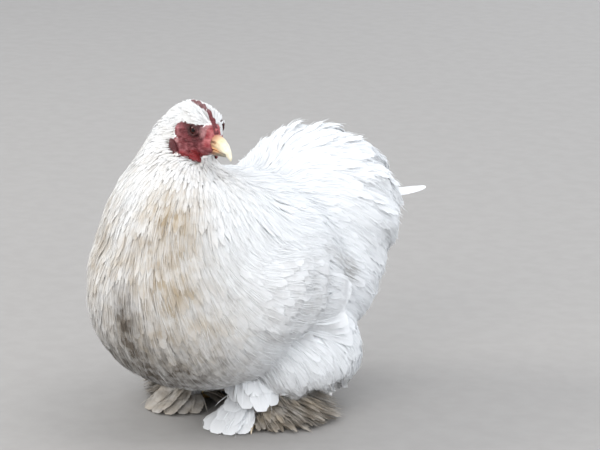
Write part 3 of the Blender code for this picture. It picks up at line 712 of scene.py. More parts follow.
def outline(kind, t):
    """Half-width along the feather, as a share: fullest part way out, rounded or pointed at the tip."""
    rise = kind.base + (1 - kind.base) * np.sin(np.clip(t / kind.fullest, 0, 1) * math.pi / 2) ** 1.2
    fall = np.clip((t - kind.fullest) / (1 - kind.fullest), 0, 1)
    return np.where(t < kind.fullest, rise, np.maximum(1 - fall**2, 0.01) ** kind.point)


def spread_weights(t, stations):
    """How much each station counts at each row: a smooth curve through the stations."""
    place = t * (stations - 1)
    gap = np.abs(place[:, None] - np.arange(stations)[None])
    weights = np.where(gap < 0.5, 0.75 - gap**2, np.where(gap < 1.5, 0.5 * (1.5 - gap) ** 2, 0))
    # The first and last stations stand in for the ones that would lie beyond them
    ends = np.zeros_like(weights)
    ends[:, 0] = np.where(place < 0.5, 0.5 * (0.5 - place) ** 2, 0)
    ends[:, -1] = np.where(stations - 1 - place < 0.5, 0.5 * (0.5 - (stations - 1 - place)) ** 2, 0)
    return weights + ends


def run_along(surface, roots, headings, lengths):
    """Each feather's way over the surface: its stations and the normals there."""
    here, heading = roots, headings
    points, normals = [], []
    for _ in range(STEPS + 1):
        spots, normal, _, _ = surface.nearest(here)
        points.append(spots)
        normals.append(normal)
        heading = flattened(unit(0.65 * heading + 0.35 * lie(spots)), normal)
        here = spots + heading * (lengths / STEPS)[:, None]
    return np.stack(points, 1), np.stack(normals, 1)


def vanes(stations, normals, half_widths, kind, draws, sizes):
    """Points of feathers as thin closed blades with fringed edges: [feather, row, left-shaft-right, xyz]."""
    count = len(stations)
    t = 1 - np.linspace(1, 0, kind.rows + 1) ** 1.35
    weights = spread_weights(t, stations.shape[1])
    centre = np.einsum("rk,nkc->nrc", weights, stations)
    up = unit(np.einsum("rk,nkc->nrc", weights, normals))
    heights = -kind.depth * (1 - t)[None] ** 1.6 + kind.lift * t[None] ** 1.5
    heights = heights + kind.bunch * grain(stations[:, 0], BUNCH_SCALE, 5.0)[:, None] * t[None] ** 0.7
    heights = heights + draws.normal(0, kind.unruly, (count, 1)) * t[None] ** 1.5
    centre = centre + up * (heights * sizes[:, None])[:, :, None]
    ahead = unit(np.gradient(centre, axis=1))
    across = unit(np.cross(ahead, up))
    roll = np.radians(draws.normal(0, kind.wander, (count, 1, 1)))
    up = np.cross(across, ahead)
    across, up = across * np.cos(roll) + up * np.sin(roll), up * np.cos(roll) - across * np.sin(roll)
    shape = outline(kind, t)[None] * half_widths[:, None]
    made = np.empty((count, len(t), 3, 3))
    for corner, side in ((0, 1), (2, -1)):
        fringe = draws.random((count, len(t))) * kind.notch
        fringe[:, ::2] *= 0.2
        width = (shape * (1 - fringe))[:, :, None]
        bend = kind.camber * width * np.abs(width) / half_widths[:, None, None]
        made[:, :, corner] = centre + across * side * width + ahead * kind.slant * width - up * bend
    thick = (kind.thickness * sizes[:, None] * (1.1 - t)[None])[:, :, None]
    made[:, :, 1] = centre + up * thick
    return made


def wisps(stations, normals, half_widths, kind, draws, sizes):
    """Loose barbs that fan out from each feather's root and reach past its tip."""
    count = kind.wisps
    total = len(stations) * count
    fan = np.tile(np.linspace(-1, 1, count), len(stations)) + draws.normal(0, 0.3, total)
    stations, normals = np.repeat(stations, count, 0), np.repeat(normals, count, 0)
    half_widths, sizes = np.repeat(half_widths, count), np.repeat(sizes, count)
    root = stations[:, :1]
    stations = root + (stations - root) * draws.uniform(*BARB_REACH, (total, 1, 1))
    across = unit(np.cross(np.gradient(stations, axis=1), normals))
    t = np.linspace(0, 1, stations.shape[1])[None, :, None]
    stations = stations + across * (fan * half_widths)[:, None, None] * t**0.7
    lift = kind.lift + kind.wisp_lift
    wisp = replace(WISP_KIND, depth=kind.depth, lift=lift, bunch=kind.bunch, unruly=kind.unruly * 1.6)
    widths = wisp.half_width * (0.5 + 0.5 * sizes) * draws.uniform(*BARB_WIDTHS, total)
    return vanes(stations, normals, widths, wisp, draws, sizes)


def vane_faces(count, rows):
    """The triangles of that many blades, with both ends closed."""
    ring = np.arange(rows)[:, None] * 3
    after = ring + 3
    quads = np.concatenate(
        [
            np.concatenate([ring + 1, ring, after, after + 1], 1),
            np.concatenate([ring + 1, after + 1, after + 2, ring + 2], 1),
            np.concatenate([ring, ring + 2, after + 2, after], 1),
        ]
    )
    last = rows * 3
    ends = np.array([[0, 1, 2], [last + 1, last, last + 2]])
    one = np.concatenate([quads[:, [0, 1, 2]], quads[:, [0, 2, 3]], ends])
    starts = np.arange(count)[:, None, None] * (rows + 1) * 3
    return (one[None] + starts).reshape(-1, 3)


def placed(name, mesh, material, slot, *nodes):
    """Names a mesh, gives it its material and sets it in the place of its nodes."""
    mesh.materials.clear()
    mesh.materials.append(material)
    mesh.shade_smooth()
    obj = new_object(name, mesh)
    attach(obj, "root")
    if nodes:
        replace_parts(obj, *nodes)
    return obj


class Coat:
    """Feathers that make one part of the coat, in meshes of a limited size."""

    def __init__(self, name, skin):
        self.name, self.skin, self.blocks = name, skin, []

    def lay(self, stations, normals, half_widths, kind, draws, sizes, soil=None):
        """Adds feathers that follow their stations, and their loose barbs. Soil turns them brown, on the
        right foot's front partly as painted shade.
        """
        self.add(vanes(stations, normals, half_widths, kind, draws, sizes), draws, soil)
        if kind.wisps:
            fan = half_widths * kind.wisp_spread
            self.add(wisps(stations, normals, fan, kind, draws, sizes), draws, soil)

    def add(self, made, draws, soil):
        """Takes points as [feather, row, corner, xyz]."""
        made[..., 2] = np.maximum(made[..., 2], COAT_LOWEST)
        tone = tones(made[:, (made.shape[1] * 3) // 5, 1], draws)
        if soil is not None:
            tone[:, 0] = max(soil, 0) * SOIL_TO_BUFF
            tone[:, 1] = np.clip(GRIME_AND_SHADE_KEPT * tone[:, 1] + soil, 0, 1)
        self.blocks.append((made, self.skin.map_at(made[:, 0, 1]), tone))

    def made(self, material, slot="plumage"):
        """Turns the feathers into objects."""
        pieces, parts, room = [], [], PIECE_TRIANGLES
        for made, roots, tone in self.blocks:
            each = (made.shape[1] - 1) * 6 + 2
            first = 0
            while first < len(made):
                last = min(len(made), first + room // each)
                if last > first:
                    parts.append((made[first:last], roots[first:last], tone[first:last]))
                    room -= (last - first) * each
                    first = last
                if first < len(made):
                    pieces.append(parts)
                    parts, room = [], PIECE_TRIANGLES
        pieces.append(parts)
        names = [self.name] if len(pieces) == 1 else [f"{self.name}_{i + 1}" for i in range(len(pieces))]
        return [feather_piece(name, parts, material, slot) for name, parts in zip(names, pieces)]


def feather_piece(name, parts, material, slot):
    """One mesh of feathers, with a map along their barbs and one of their roots' places on the skin."""
    points, faces, bake, barbs, tone, used = [], [], [], [], [], 0
    for made, roots, colour in parts:
        count, rows = made.shape[:2]
        points.append(made.reshape(-1, 3))
        faces.append(vane_faces(count, rows - 1) + used)
        used += made.size // 3
        across = np.broadcast_to(np.array((0.0, 0.5, 1.0)), (count, rows, 3))
        along = np.broadcast_to(np.linspace(0, 1, rows)[None, :, None], (count, rows, 3))
        place = np.stack([across, along], -1)
        barbs.append(place.reshape(-1, 2))
        bake.append((roots[:, None, None] + (place - 0.5) * BAKE_PATCH).reshape(-1, 2))
        tone.append(np.repeat(colour, rows * 3, 0))
    mesh = mesh_of(np.concatenate(points), np.concatenate(faces))
    add_map(mesh, "OFBake", np.concatenate(bake))
    add_map(mesh, "barbs", np.concatenate(barbs))
    add_colour(mesh, "tones", np.concatenate(tone))
    obj = placed(name, mesh, material, slot)
    mesh.set_sharp_from_angle(angle=SHARP_EDGE)
    return obj


def lid(side):
    """A thin shell over the eyeball with an almond opening, its rim slightly swollen."""
    around = np.linspace(0, 2 * math.pi, 56, endpoint=False)
    wide, high = LID_OPENING
    edge = np.abs(np.cos(around) / wide) ** LID_POWER + np.abs(np.sin(around) / high) ** LID_POWER
    edge = edge ** (-1 / LID_POWER)
    tilt = edge + (LID_REACH - edge) * LID_SHARES[:, None]
    tilt = np.concatenate([tilt, tilt[::-1]])
    radius = EYE_RADIUS + np.concatenate([LID_OUTSIDE, LID_INSIDE[::-1]])
    turned = around + 0 * tilt
    points = np.stack([np.sin(tilt) * np.cos(turned), np.sin(tilt) * np.sin(turned), np.cos(tilt)], -1)
    points = (points * radius[:, None, None]).reshape(-1, 3) @ eye_turn(side).T + eye_middle(side)
    rows, columns = tilt.shape
    return facing_out(mesh_of(points, ring_faces(rows, rows, columns)))


class Skin:
    """The one skin of body, head, lids, comb, wattles and lobes, with the map that the coat is baked by."""

    def __init__(self, guide):
        self.guide = guide
        body = fused(BODY_NODES + ("head",), *BODY_GRAIN)
        set_points(body, points_of(body) - normals_of(body) * SKIN_DEPTH)
        lids = [lid(side) for side in SIDES]
        head = fused(("head", *FLESH_NODES), *HEAD_GRAIN, swell=0.0001, extra=lids, clamp=drawn_to_fine)
        self.shape_face(head)
        joined, other = new_object("joined", head), new_object("body", body)
        union = joined.modifiers.new("union", "BOOLEAN")
        union.operation = "UNION"
        union.solver = "MANIFOLD"
        union.object = other
        self.obj = new_object("skin", taken_mesh(joined))
        bpy.data.objects.remove(other)
        self.unwrap()
        self.surface = Surface(self.obj.data)

    def shape_face(self, mesh):
        """Wrinkles the head's bare skin and draws the rest in under its feathers."""
        points, normals = points_of(mesh), normals_of(mesh)
        bare = bare_skin(points)
        inward = (1 - bare) * (0.0009 + 0.0014 * smooth(0.75, 0.95, from_fine_middle(points)))
        pebbles = PEBBLE_HEIGHT * grain(points, 0.0011)
        folds = FOLD_HEIGHT * grain(points, (0.0026, 0.0026, 0.001), 4.0)
        outward = bare * (pebbles + folds)
        for side in SIDES:
            gap = norm(points - eye_middle(side), axis=1)
            near = 1 - smooth(0.0055, 0.01, gap)
            rings = RING_HEIGHT * np.sin(gap * 7600 + 2.0 * grain(points, 0.002, 9.0))
            outward = outward * (1 - 0.8 * near) + near * rings * smooth(0.005, 0.0056, gap)
        points = points + normals * (outward - inward)[:, None]
        for side in SIDES:
            gap = norm(points - eye_middle(side), axis=1)
            deeper = EYE_SUNK * (1 - smooth(0.0062, 0.0105, gap))
            points = points - HEAD_TURN[:, 1] * side * deeper[:, None]
        spots, up, _, _ = self.guide.nearest(points)
        height = ((points - spots) * up).sum(1)
        sunk = points + up * np.minimum(-SKIN_UNDER_FEATHERS - height, 0)[:, None]
        set_points(mesh, mixed(sunk, points, smooth(0.0, 0.6, bare)))

    def unwrap(self):
        """Lays the skin out flat and reads the result for each triangle."""
        bpy.context.view_layer.objects.active = self.obj
        self.obj.select_set(True)
        self.obj.data.uv_layers.new(name="OFBake")
        bpy.ops.object.mode_set(mode="EDIT")
        bpy.ops.mesh.select_all(action="SELECT")
        bpy.ops.uv.smart_project(angle_limit=math.radians(66), island_margin=0.004)
        bpy.ops.object.mode_set(mode="OBJECT")
        self.obj.select_set(False)
        mesh = self.obj.data
        uv = np.empty(len(mesh.loops) * 2, np.float32)
        mesh.uv_layers["OFBake"].uv.foreach_get("vector", uv)
        self.uv = uv.reshape(-1, 2).astype(float)[corners_of(mesh, "loops")]

    def map_at(self, places):
        _, _, faces, weights = self.surface.nearest(places)
        spots = (self.uv[faces] * weights[:, :, None]).sum(1)
        return np.clip(spots, 0.002, 0.998)


def near_node(places, node):
    """1 on the surface of a small solid of the head, 0 a little away from it."""
    corners = np.array([corner[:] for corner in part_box(node)])
    middle, half = corners.mean(0), (corners[1] - corners[0]) / 2 + 0.002
    inside = (np.abs(places - middle) < half).all(1)
    gap = np.full(len(places), 9.0)
    if inside.any():
        spots = NODE_SURFACES[node].nearest(places[inside])[0]
        gap[inside] = norm(places[inside] - spots, axis=1)
    return 1 - smooth(0.0004, 0.0014, gap)


def face_colours(places):
    """The bare skin's red: dark round the eye and on the lobes, dusky on the cheek, rich on the wattles."""
    ahead, _, rise = in_head(places).T
    blotch = grain(places, 0.0032, 2.0) * 0.5 + 0.5
    fine = grain(places, 0.001, 7.0) * 0.5 + 0.5
    eye = np.minimum(*(norm(places - eye_middle(side), axis=1) for side in SIDES))
    cheek = mixed(*CHEEK_TINTS, smooth(0.35, 0.95, blotch))
    off_eye = smooth(0.0092, 0.013, eye + 0.0026 * (blotch - 0.5))
    colour = mixed(mixed(*EYE_SKIN_TINTS, blotch), cheek, off_eye)
    front = smooth(0.015, 0.018, ahead) * smooth(-0.008, -0.003, rise)
    band = (1 - smooth(0.0006, 0.0022, np.abs(ahead - 0.015))) * smooth(-0.001, 0.003, rise)
    jaw = smooth(-0.0095, -0.012, rise) * smooth(-0.004, 0.001, ahead)
    ear = 1 - smooth(0.4, 1.2, np.hypot((ahead + 0.0035) / 0.005, (rise + 0.0065) / 0.004))
    for tint, share in (
        (RIM_TINT, 1 - smooth(0.0048, 0.0064, eye)),
        (mixed(*FRONT_TINTS, blotch), front * 0.9),
        (BAND_TINT, band * 0.55),
        (mixed(*JAW_TINTS, blotch), jaw),
        (EAR_TINT, ear * smooth(0.2, 0.8, blotch) * 0.8),
    ):
        colour = mixed(colour, tint, share)
    for name, tint in FLESH_TINTS.items():
        colour = mixed(colour, tint, near_node(places, name))
    crest = near_node(places, "comb") * smooth(0.0155, 0.0185, rise)
    colour = mixed(colour, CREST_TINT, crest * 0.85)
    return colour * (0.82 + 0.36 * fine)[:, None]


def shader(name, roughness, **sockets):
    """A material, its tree and its Principled shader."""
    material = bpy.data.materials.new(name)
    material.use_nodes = True
    tree = material.node_tree
    bsdf = tree.nodes["Principled BSDF"]
    bsdf.inputs["Roughness"].default_value = roughness
    for socket, value in sockets.items():
        bsdf.inputs[socket.replace("_", " ")].default_value = value
    return material, tree, bsdf


def node(tree, kind, inputs=None, **settings):
    made = tree.nodes.new(kind)
    for key, value in settings.items():
        setattr(made, key, value)
    for key, value in (inputs or {}).items():
        if isinstance(value, bpy.types.NodeSocket):
            tree.links.new(value, made.inputs[key])
        else:
            made.inputs[key].default_value = value
    return made


def sums(tree, operation, *values):
    """A Math node's output."""
    return node(tree, "ShaderNodeMath", dict(enumerate(values)), operation=operation).outputs[0]


def blended(tree, share, first, second, kind="MIX"):
    """A Mix node's colour."""
    made = tree.nodes.new("ShaderNodeMix")
    made.data_type = "RGBA"
    made.blend_type = kind
    for index, value in ((0, share), (6, first), (7, second)):
        if isinstance(value, bpy.types.NodeSocket):
            tree.links.new(value, made.inputs[index])
        else:
            made.inputs[index].default_value = value
    return made.outputs[2]


def noised(tree, scale, detail=3.0):
    place = node(tree, "ShaderNodeTexCoord").outputs["Object"]
    inputs = {"Vector": place, "Scale": scale, "Detail": detail, "Roughness": 0.55}
    return node(tree, "ShaderNodeTexNoise", inputs).outputs["Fac"]


def celled(tree, scale, **settings):
    place = node(tree, "ShaderNodeTexCoord").outputs["Object"]
    inputs = {"Vector": place, "Scale": scale}
    return node(tree, "ShaderNodeTexVoronoi", inputs, **settings).outputs["Distance"]


def ramped(tree, value, low, high, to_low=0.0, to_high=1.0):
    inputs = {"Value": value, "From Min": low, "From Max": high, "To Min": to_low, "To Max": to_high}
    return node(tree, "ShaderNodeMapRange", inputs, interpolation_type="SMOOTHSTEP").outputs["Result"]


def painted(tree, name, output="Color"):
    """What one of the mesh's own attributes says."""
    return node(tree, "ShaderNodeAttribute", attribute_name=name).outputs[output]


def darkened(tree, colour, level):
    """A colour times a grey level."""
    grey = node(tree, "ShaderNodeCombineColor", {"Red": level, "Green": level, "Blue": level}).outputs[0]
    return blended(tree, 1.0, colour, grey, "MULTIPLY")


def coloured(tree, bsdf, colour, height=None, strength=0.0, distance=0.0, **settings):
    """Gives the shader its colour, and a fine relief where there is a height."""
    tree.links.new(colour, bsdf.inputs["Base Color"])
    if height is not None:
        inputs = {"Height": height, "Strength": strength, "Distance": distance}
        bump = node(tree, "ShaderNodeBump", inputs, **settings)
        tree.links.new(bump.outputs["Normal"], bsdf.inputs["Normal"])


def stained(tree):
    """White plumage with buff stain, and grime and painted shade, from the tones, broken up by noise."""
    parts = node(tree, "ShaderNodeSeparateColor", {"Color": painted(tree, "tones")}).outputs
    buff = sums(tree, "MULTIPLY", parts["Red"], ramped(tree, noised(tree, 90.0), 0.3, 0.7, 0.55, 1.25))
    grime_and_shade_share = sums(tree, "MULTIPLY", parts["Green"], ramped(tree, noised(tree, 140.0), 0.3, 0.7, 0.5, 1.3))
    colour = blended(tree, grime_and_shade_share, blended(tree, buff, WHITE, BUFF), GRIME_AND_SHADE)
    return darkened(tree, colour, ramped(tree, parts["Blue"], 0, 1, 0.96, 1.0))


def plumage_material():
    """Feather: fine barbs that run forward from a raised shaft."""
    look = {"Sheen_Weight": 0.25, "Sheen_Roughness": 0.5, "Specular_IOR_Level": 0.25}
    material, tree, bsdf = shader("plumage", 0.62, **look)
    place = node(tree, "ShaderNodeUVMap", uv_map="barbs").outputs["UV"]
    parts = node(tree, "ShaderNodeSeparateXYZ", {"Vector": place}).outputs
    side = sums(tree, "ABSOLUTE", sums(tree, "SUBTRACT", parts["X"], 0.5))
    run = sums(tree, "SUBTRACT", parts["Y"], sums(tree, "MULTIPLY", side, 0.22))
    line = sums(tree, "SINE", sums(tree, "MULTIPLY", run, BARBS * 2 * math.pi))
    wave = sums(tree, "MULTIPLY_ADD", line, 0.5, 0.5)
    shaft = ramped(tree, side, 0.012, 0.04, 1.0, 0.0)
    colour = darkened(tree, stained(tree), ramped(tree, wave, 0, 1, 0.95, 1.0))
    height = sums(tree, "ADD", wave, sums(tree, "MULTIPLY", shaft, 1.5))
    coloured(tree, bsdf, colour, height, 0.12, 0.0001)
    thin = node(tree, "ShaderNodeBsdfTranslucent", {"Color": colour})
    both = node(tree, "ShaderNodeMixShader", {0: TRANSLUCENCY, 1: bsdf.outputs[0], 2: thin.outputs[0]})
    tree.links.new(both.outputs[0], tree.nodes["Material Output"].inputs["Surface"])
    return material


def skin_material():
    """Red face skin, finely pebbled, and pale skin under the feathers."""
    material, tree, bsdf = shader("skin", 0.5, Specular_IOR_Level=0.26, Subsurface_Weight=0.06)
    bsdf.inputs["Subsurface Radius"].default_value = (0.0012, 0.0004, 0.0003)
    bare = painted(tree, "bare", "Fac")
    cells = celled(tree, 1500.0)
    pale = ramped(tree, cells, 0.3, 0.75, 0.0, 0.08)
    red = blended(tree, pale, painted(tree, "face"), (0.55, 0.2, 0.18, 1))
    height = sums(tree, "MULTIPLY", sums(tree, "SUBTRACT", noised(tree, 900.0), cells), bare)
    coloured(tree, bsdf, blended(tree, bare, stained(tree), red), height, 0.6, 0.00016)
    return material


def scale_material():
    """Shank and toes: yellow scutes with darker seams and some soil between them."""
    material, tree, bsdf = shader("scales", 0.5, Specular_IOR_Level=0.4)
    seam = ramped(tree, celled(tree, 620.0, feature="DISTANCE_TO_EDGE"), 0.02, 0.14, 1.0, 0.0)
    patches = ramped(tree, noised(tree, 160.0), 0.35, 0.65)
    yellow = blended(tree, patches, (0.62, 0.42, 0.13, 1), (0.74, 0.56, 0.25, 1))
    colour = blended(tree, sums(tree, "MULTIPLY", seam, 0.6), yellow, (0.2, 0.13, 0.06, 1))
    soil = ramped(tree, noised(tree, 70.0, 5.0), 0.45, 0.75, 0.0, 0.5)
    coloured(tree, bsdf, blended(tree, soil, colour, GRIME_AND_SHADE), seam, 0.5, 0.0002, invert=True)
    return material


def horn_material():
    """Bill or claw: horn in its painted tint, with fine streaks."""
    look = {"Specular_IOR_Level": 0.5, "Coat_Weight": 0.12, "Coat_Roughness": 0.3}
    material, tree, bsdf = shader("horn", 0.34, **look)
    streaks = ramped(tree, noised(tree, 420.0, 4.0), 0.4, 0.75, 0.0, 0.28)
    colour = blended(tree, streaks, painted(tree, "tint"), (0.42, 0.28, 0.13, 1))
    coloured(tree, bsdf, colour, noised(tree, 900.0), 0.25, 0.0001)
    return material


def eye_material():
    """A dark pupil in a finely mottled red-brown iris, under a wet surface."""
    look = {"Coat_Weight": 0.12, "Coat_Roughness": 0.02, "Specular_IOR_Level": 0.18}
    material, tree, bsdf = shader("eye", 0.12, **look)
    out = painted(tree, "out", "Fac")
    iris = blended(tree, ramped(tree, noised(tree, 900.0, 4.0), 0.3, 0.7), *IRIS_TINTS)
    iris = blended(tree, ramped(tree, out, 0.52, 0.66), iris, IRIS_EDGE_TINT)
    coloured(tree, bsdf, blended(tree, ramped(tree, out, 0.33, 0.37), PUPIL_TINT, iris))
    return material


def make_skin(skin):
    """Paints the skin and sets it in the place of the flesh."""
    mesh = skin.obj.data
    points = points_of(mesh)
    near = np.flatnonzero(from_fine_middle(points) < FINE_MARGIN)
    colours = np.zeros((len(points), 3))
    colours[near] = face_colours(points[near])
    add_number(mesh, "bare", bare_skin(points))
    add_colour(mesh, "face", colours)
    add_colour(mesh, "tones", tones(points, np.random.default_rng(SKIN_SEED)))
    mesh.materials.clear()
    mesh.materials.append(skin_material())
    mesh.shade_smooth()
    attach(skin.obj, "root")
    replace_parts(skin.obj, *BODY_NODES, "head", *FLESH_NODES)


def make_bill(name, material):
    """A finer copy of half of the bill, painted from its root to its tip."""
    mesh = fused((name,), *BILL_GRAIN)
    spots = in_head(points_of(mesh))
    ahead, rise = spots[:, 0], spots[:, 2]
    root, middle, tip = BILL_TINTS_AND_SHADE[name]
    tint = mixed(root, middle, smooth(0.0195, 0.027, ahead))
    tint = mixed(tint, tip, smooth(0.024, 0.033, ahead))
    line = (1 - smooth(0.0009, 0.0024, np.abs(rise - GAPE_LEVEL))) * (1 - smooth(0.024, 0.03, ahead))
    tint = mixed(tint, GAPE_TINT, line * (1.0 if name == "beak_upper" else 0.6))
    if name == "beak_upper":
        # The nostril's hollow is painted dark: painted shade
        nostril = norm((spots - NOSTRIL)[:, [0, 2]] / NOSTRIL_HALF, axis=1)
        tint = mixed(tint, NOSTRIL_SHADE_TINT, 1 - smooth(0.6, 1.3, nostril))
    add_colour(mesh, "tint", tint)
    placed(name + "_horn", mesh, material, "horn", name)


def make_eye(side, material):
    """A ball with a slightly raised cornea, which looks out sideways and a little ahead."""
    name = "eye_" + SIDES[side]
    form = bmesh.new()
    bmesh.ops.create_uvsphere(form, u_segments=48, v_segments=32, radius=1)
    mesh = bpy.data.meshes.new(name)
    form.to_mesh(mesh)
    form.free()
    points = points_of(mesh)
    out = np.arccos(np.clip(points[:, 2], -1, 1))
    add_number(mesh, "out", out)
    raised = 1 + 0.035 * (1 - smooth(0.3, 0.7, out))
    points = (points * raised[:, None]) @ eye_turn(side).T * (EYE_RADIUS * 0.985) + eye_middle(side)
    set_points(mesh, points - HEAD_TURN[:, 1] * side * EYE_SUNK)
    placed(name + "_ball", mesh, material, "eye", name)


def grow(coat, guide, kind, spacing, use, draws, sizes=growth):
    """Covers some of the guide's triangles with feathers of one kind."""
    roots = scattered(guide, spacing, np.flatnonzero(use), sizes, draws)
    size = sizes(roots)
    lengths = kind.length * size * draws.uniform(*LENGTH_RANGE, len(roots))
    widths = kind.half_width * size * draws.uniform(*WIDTH_RANGE, len(roots))
    _, normal, _, _ = guide.nearest(roots)
    heading = flattened(lie(roots), normal)
    swirl = SWIRL * grain(roots, SWIRL_SCALE)
    turn = np.radians(draws.normal(0, kind.wander, len(roots)) + swirl)[:, None]
    heading = heading * np.cos(turn) + np.cross(normal, heading) * np.sin(turn)
    stations, normals = run_along(guide, roots, heading, lengths)
    coat.lay(stations, normals, widths, kind, draws, size)


def regions(surface):
    """The index in COAT_NODES of the solid that is nearest to each triangle of the surface."""
    middle = surface.points[surface.corners].mean(1)
    gaps = [norm(middle - NODE_SURFACES[name].nearest(middle)[0], axis=1) for name in COAT_NODES]
    return np.array(gaps).argmin(0), middle


def make_coats(guide, region, middles, skin, material):
    """Every scattered part of the coat, region by region."""
    draws = np.random.default_rng(COAT_SEED)
    on_head = (region == COAT_NODES.index("head")) & (bareness(middles) < 0.3)
    coat = Coat("head_feathers", skin)
    grow(coat, guide, HEAD_KIND, HEAD_SPACING, on_head, draws, head_growth)
    ahead, left, rise = in_head(middles).T
    aside = np.abs(left)
    crown = on_head & (aside < 0.0068) & (rise > 0.008) & (ahead > -0.005)
    off_comb = (aside > 0.0012) | (ahead < 0.001)
    grow(coat, guide, CREST_KIND, CREST_SPACING, crown & off_comb, draws)
    nape = on_head & (ahead < -0.004) & (aside < 0.013) & (rise > -0.004)
    grow(coat, guide, NAPE_KIND, NAPE_SPACING, nape, draws)
    coat.made(material)
    for name, (nodes, kind, spacing) in SCATTERED.items():
        use = np.isin(region, [COAT_NODES.index(node) for node in nodes])
        coat = Coat(name, skin)
        grow(coat, guide, kind, spacing, use, draws)
        if name == "cushion_feathers":
            high = use & (middles[:, 2] > 0.15) & (middles[:, 1] > 0.02)
            grow(coat, guide, PLUME_KIND, PLUME_SPACING, high, draws)
        coat.made(material)


def make_tail_feather(skin, material):
    """The one long feather that stands out from the cushion, curved and cupped."""
    start, end = (array(place) for place in TAIL_FEATHER)
    t = np.linspace(0, 1, STEPS + 1)[:, None]
    line = start + (end - start) * t - TAIL_FEATHER_SAG * np.sin(math.pi * t)
    up = np.broadcast_to(unit(TAIL_FEATHER_UP), line.shape)
    coat = Coat("tail_feather", skin)
    draws = np.random.default_rng(TAIL_SEED)
    coat.lay(line[None], up[None], np.array([TAIL_KIND.half_width]), TAIL_KIND, draws, np.ones(1))
    coat.made(material)


def make_wing(side, guide, region, middles, skin, material):
    """The folded wing: tiers of long feathers, and small ones over its front."""
    name = "wing_" + SIDES[side]
    draws = np.random.default_rng(WING_SEED + side)
    coat = Coat(name + "_feathers", skin)
    middle, slope = array(WING_MIDDLES[side]), WING_SLOPES[side]
    back = np.array((0, math.cos(slope), math.sin(slope)))
    up = np.array((0, -math.sin(slope), math.cos(slope)))
    for count, first, last, tips, half_width, rise in WING_TIERS:
        share = np.linspace(0, 1, count)
        along, height = (between(ends, share)[:, None] for ends in zip(first, last))
        lengths = between(tips, share) * draws.uniform(0.95, 1.05, count)
        droop = np.radians(1 + 16 * share + draws.uniform(-2, 2, count))
        heading = np.cos(droop)[:, None] * back - np.sin(droop)[:, None] * up
        roots, normal, _, _ = guide.nearest(middle + back * along + up * height)
        stations, normals = run_along(guide, roots, flattened(heading, normal), lengths)
        ones = np.ones(count)
        coat.lay(stations, normals, half_width * ones, replace(QUILL_KIND, lift=rise), draws, ones)
    use = (region == COAT_NODES.index(name)) & ((middles - middle) @ back < 0.022)
    grow(coat, guide, WING_KIND, WING_SPACING, use, draws)
    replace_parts(coat.made(material)[0], name)


def foot_frame(side):
    """The foot's own frame: +X ahead, +Y outwards and +Z up, on the floor under the ankle."""
    ahead = Matrix.Rotation(math.radians(-90 + 6 * side), 4, "Z")
    return Matrix.Translation(FEET[side]) @ ahead @ Matrix.Diagonal((1, side, 1, 1))


def rod(line, radii, around=20):
    """A closed round rod along a line of points, flat underneath where it meets the floor."""
    ahead = unit(np.gradient(line, axis=0))
    side = unit(np.cross(ahead, np.array((0.03, 0.02, 1.0))))
    up = np.cross(side, ahead)
    turn = np.linspace(0, 2 * math.pi, around, endpoint=False)[None, :, None]
    ring = side[:, None] * np.cos(turn) + up[:, None] * np.sin(turn)
    points = line[:, None] + ring * radii[:, None, None]
    points[:, :, 2] = np.maximum(points[:, :, 2], 0.0001)
    rows = len(line)
    faces = [tuple(face) for face in ring_faces(rows - 1, rows, around).tolist()]
    faces += [tuple(range(around))[::-1], tuple(range((rows - 1) * around, rows * around))]
    return points.reshape(-1, 3), faces


def rod_mesh(rods, turn):
    """One mesh of several rods, moved by the matrix."""
    mesh = bpy.data.meshes.new("rods")
    points, faces = [], []
    for places, sides in rods:
        faces += [tuple(corner + len(points) for corner in face) for face in sides]
        points += places.tolist()
    mesh.from_pydata(points, [], faces)
    mesh.transform(turn)
    return facing_out(mesh)


def ways(turns):
    """Level directions at these turns outwards."""
    return np.stack([np.cos(turns), np.sin(turns), 0 * turns], -1)


def along_floor(way, reach, height):
    """Points out along a way, each at its own height."""
    return way * reach[:, None] + np.array((0, 0, 1)) * height[:, None]


def toe(way, length, thickness):
    t = np.linspace(0, 1, 46)
    height = thickness * 0.86 + 0.003 * (1 - t) ** 2
    swell = 1.12 - 0.24 * t + 0.05 * np.sin(t * math.pi * 3.2 + 0.6)
    end = np.sqrt(np.maximum(1 - smooth(0.9, 1.0, t) * 0.95, 0.0))
    radii = thickness * 0.92 * swell * end + 0.00016 * np.sin(t * length * 4300)
    return rod(along_floor(way, length * t, height), radii)


def claw(way, length):
    t = np.linspace(0, 1, 24)
    height = 0.0032 + 0.0016 * np.sin(t * 2.1) - 0.0044 * t**2.2
    radii = 0.0019 * (1 - t) ** 0.7 + 0.00018
    return rod(along_floor(way, length * 0.93 + CLAW_REACH * t, height), radii, 14)


def make_leg(side, scales, horn):
    """The shank and toes as one scaly skin, and their claws."""
    name, turn = SIDES[side], foot_frame(side)
    t = np.linspace(0, 1, 40)
    line = np.stack([0.001 - 0.007 * t, 0.006 * t, 0.006 + 0.052 * t], 1)
    radii = 0.0056 + 0.0022 * t**2 + 0.0008 * (1 - t) ** 3 + 0.00018 * np.sin(t * 90)
    toes = [(ways(math.radians(degrees)), length, thickness) for degrees, length, thickness in TOES]
    flesh = rod_mesh([rod(line, radii)] + [toe(*each) for each in toes], turn)
    placed(f"leg_{name}_skin", remeshed(flesh, *LEG_GRAIN), scales, "flesh", f"leg_{name}")
    mesh = rod_mesh([claw(way, length) for way, length, _ in toes], turn)
    add_colour(mesh, "tint", np.full((len(mesh.vertices), 3), CLAW_TINT))
    placed(f"claws_{name}", mesh, horn, "horn")


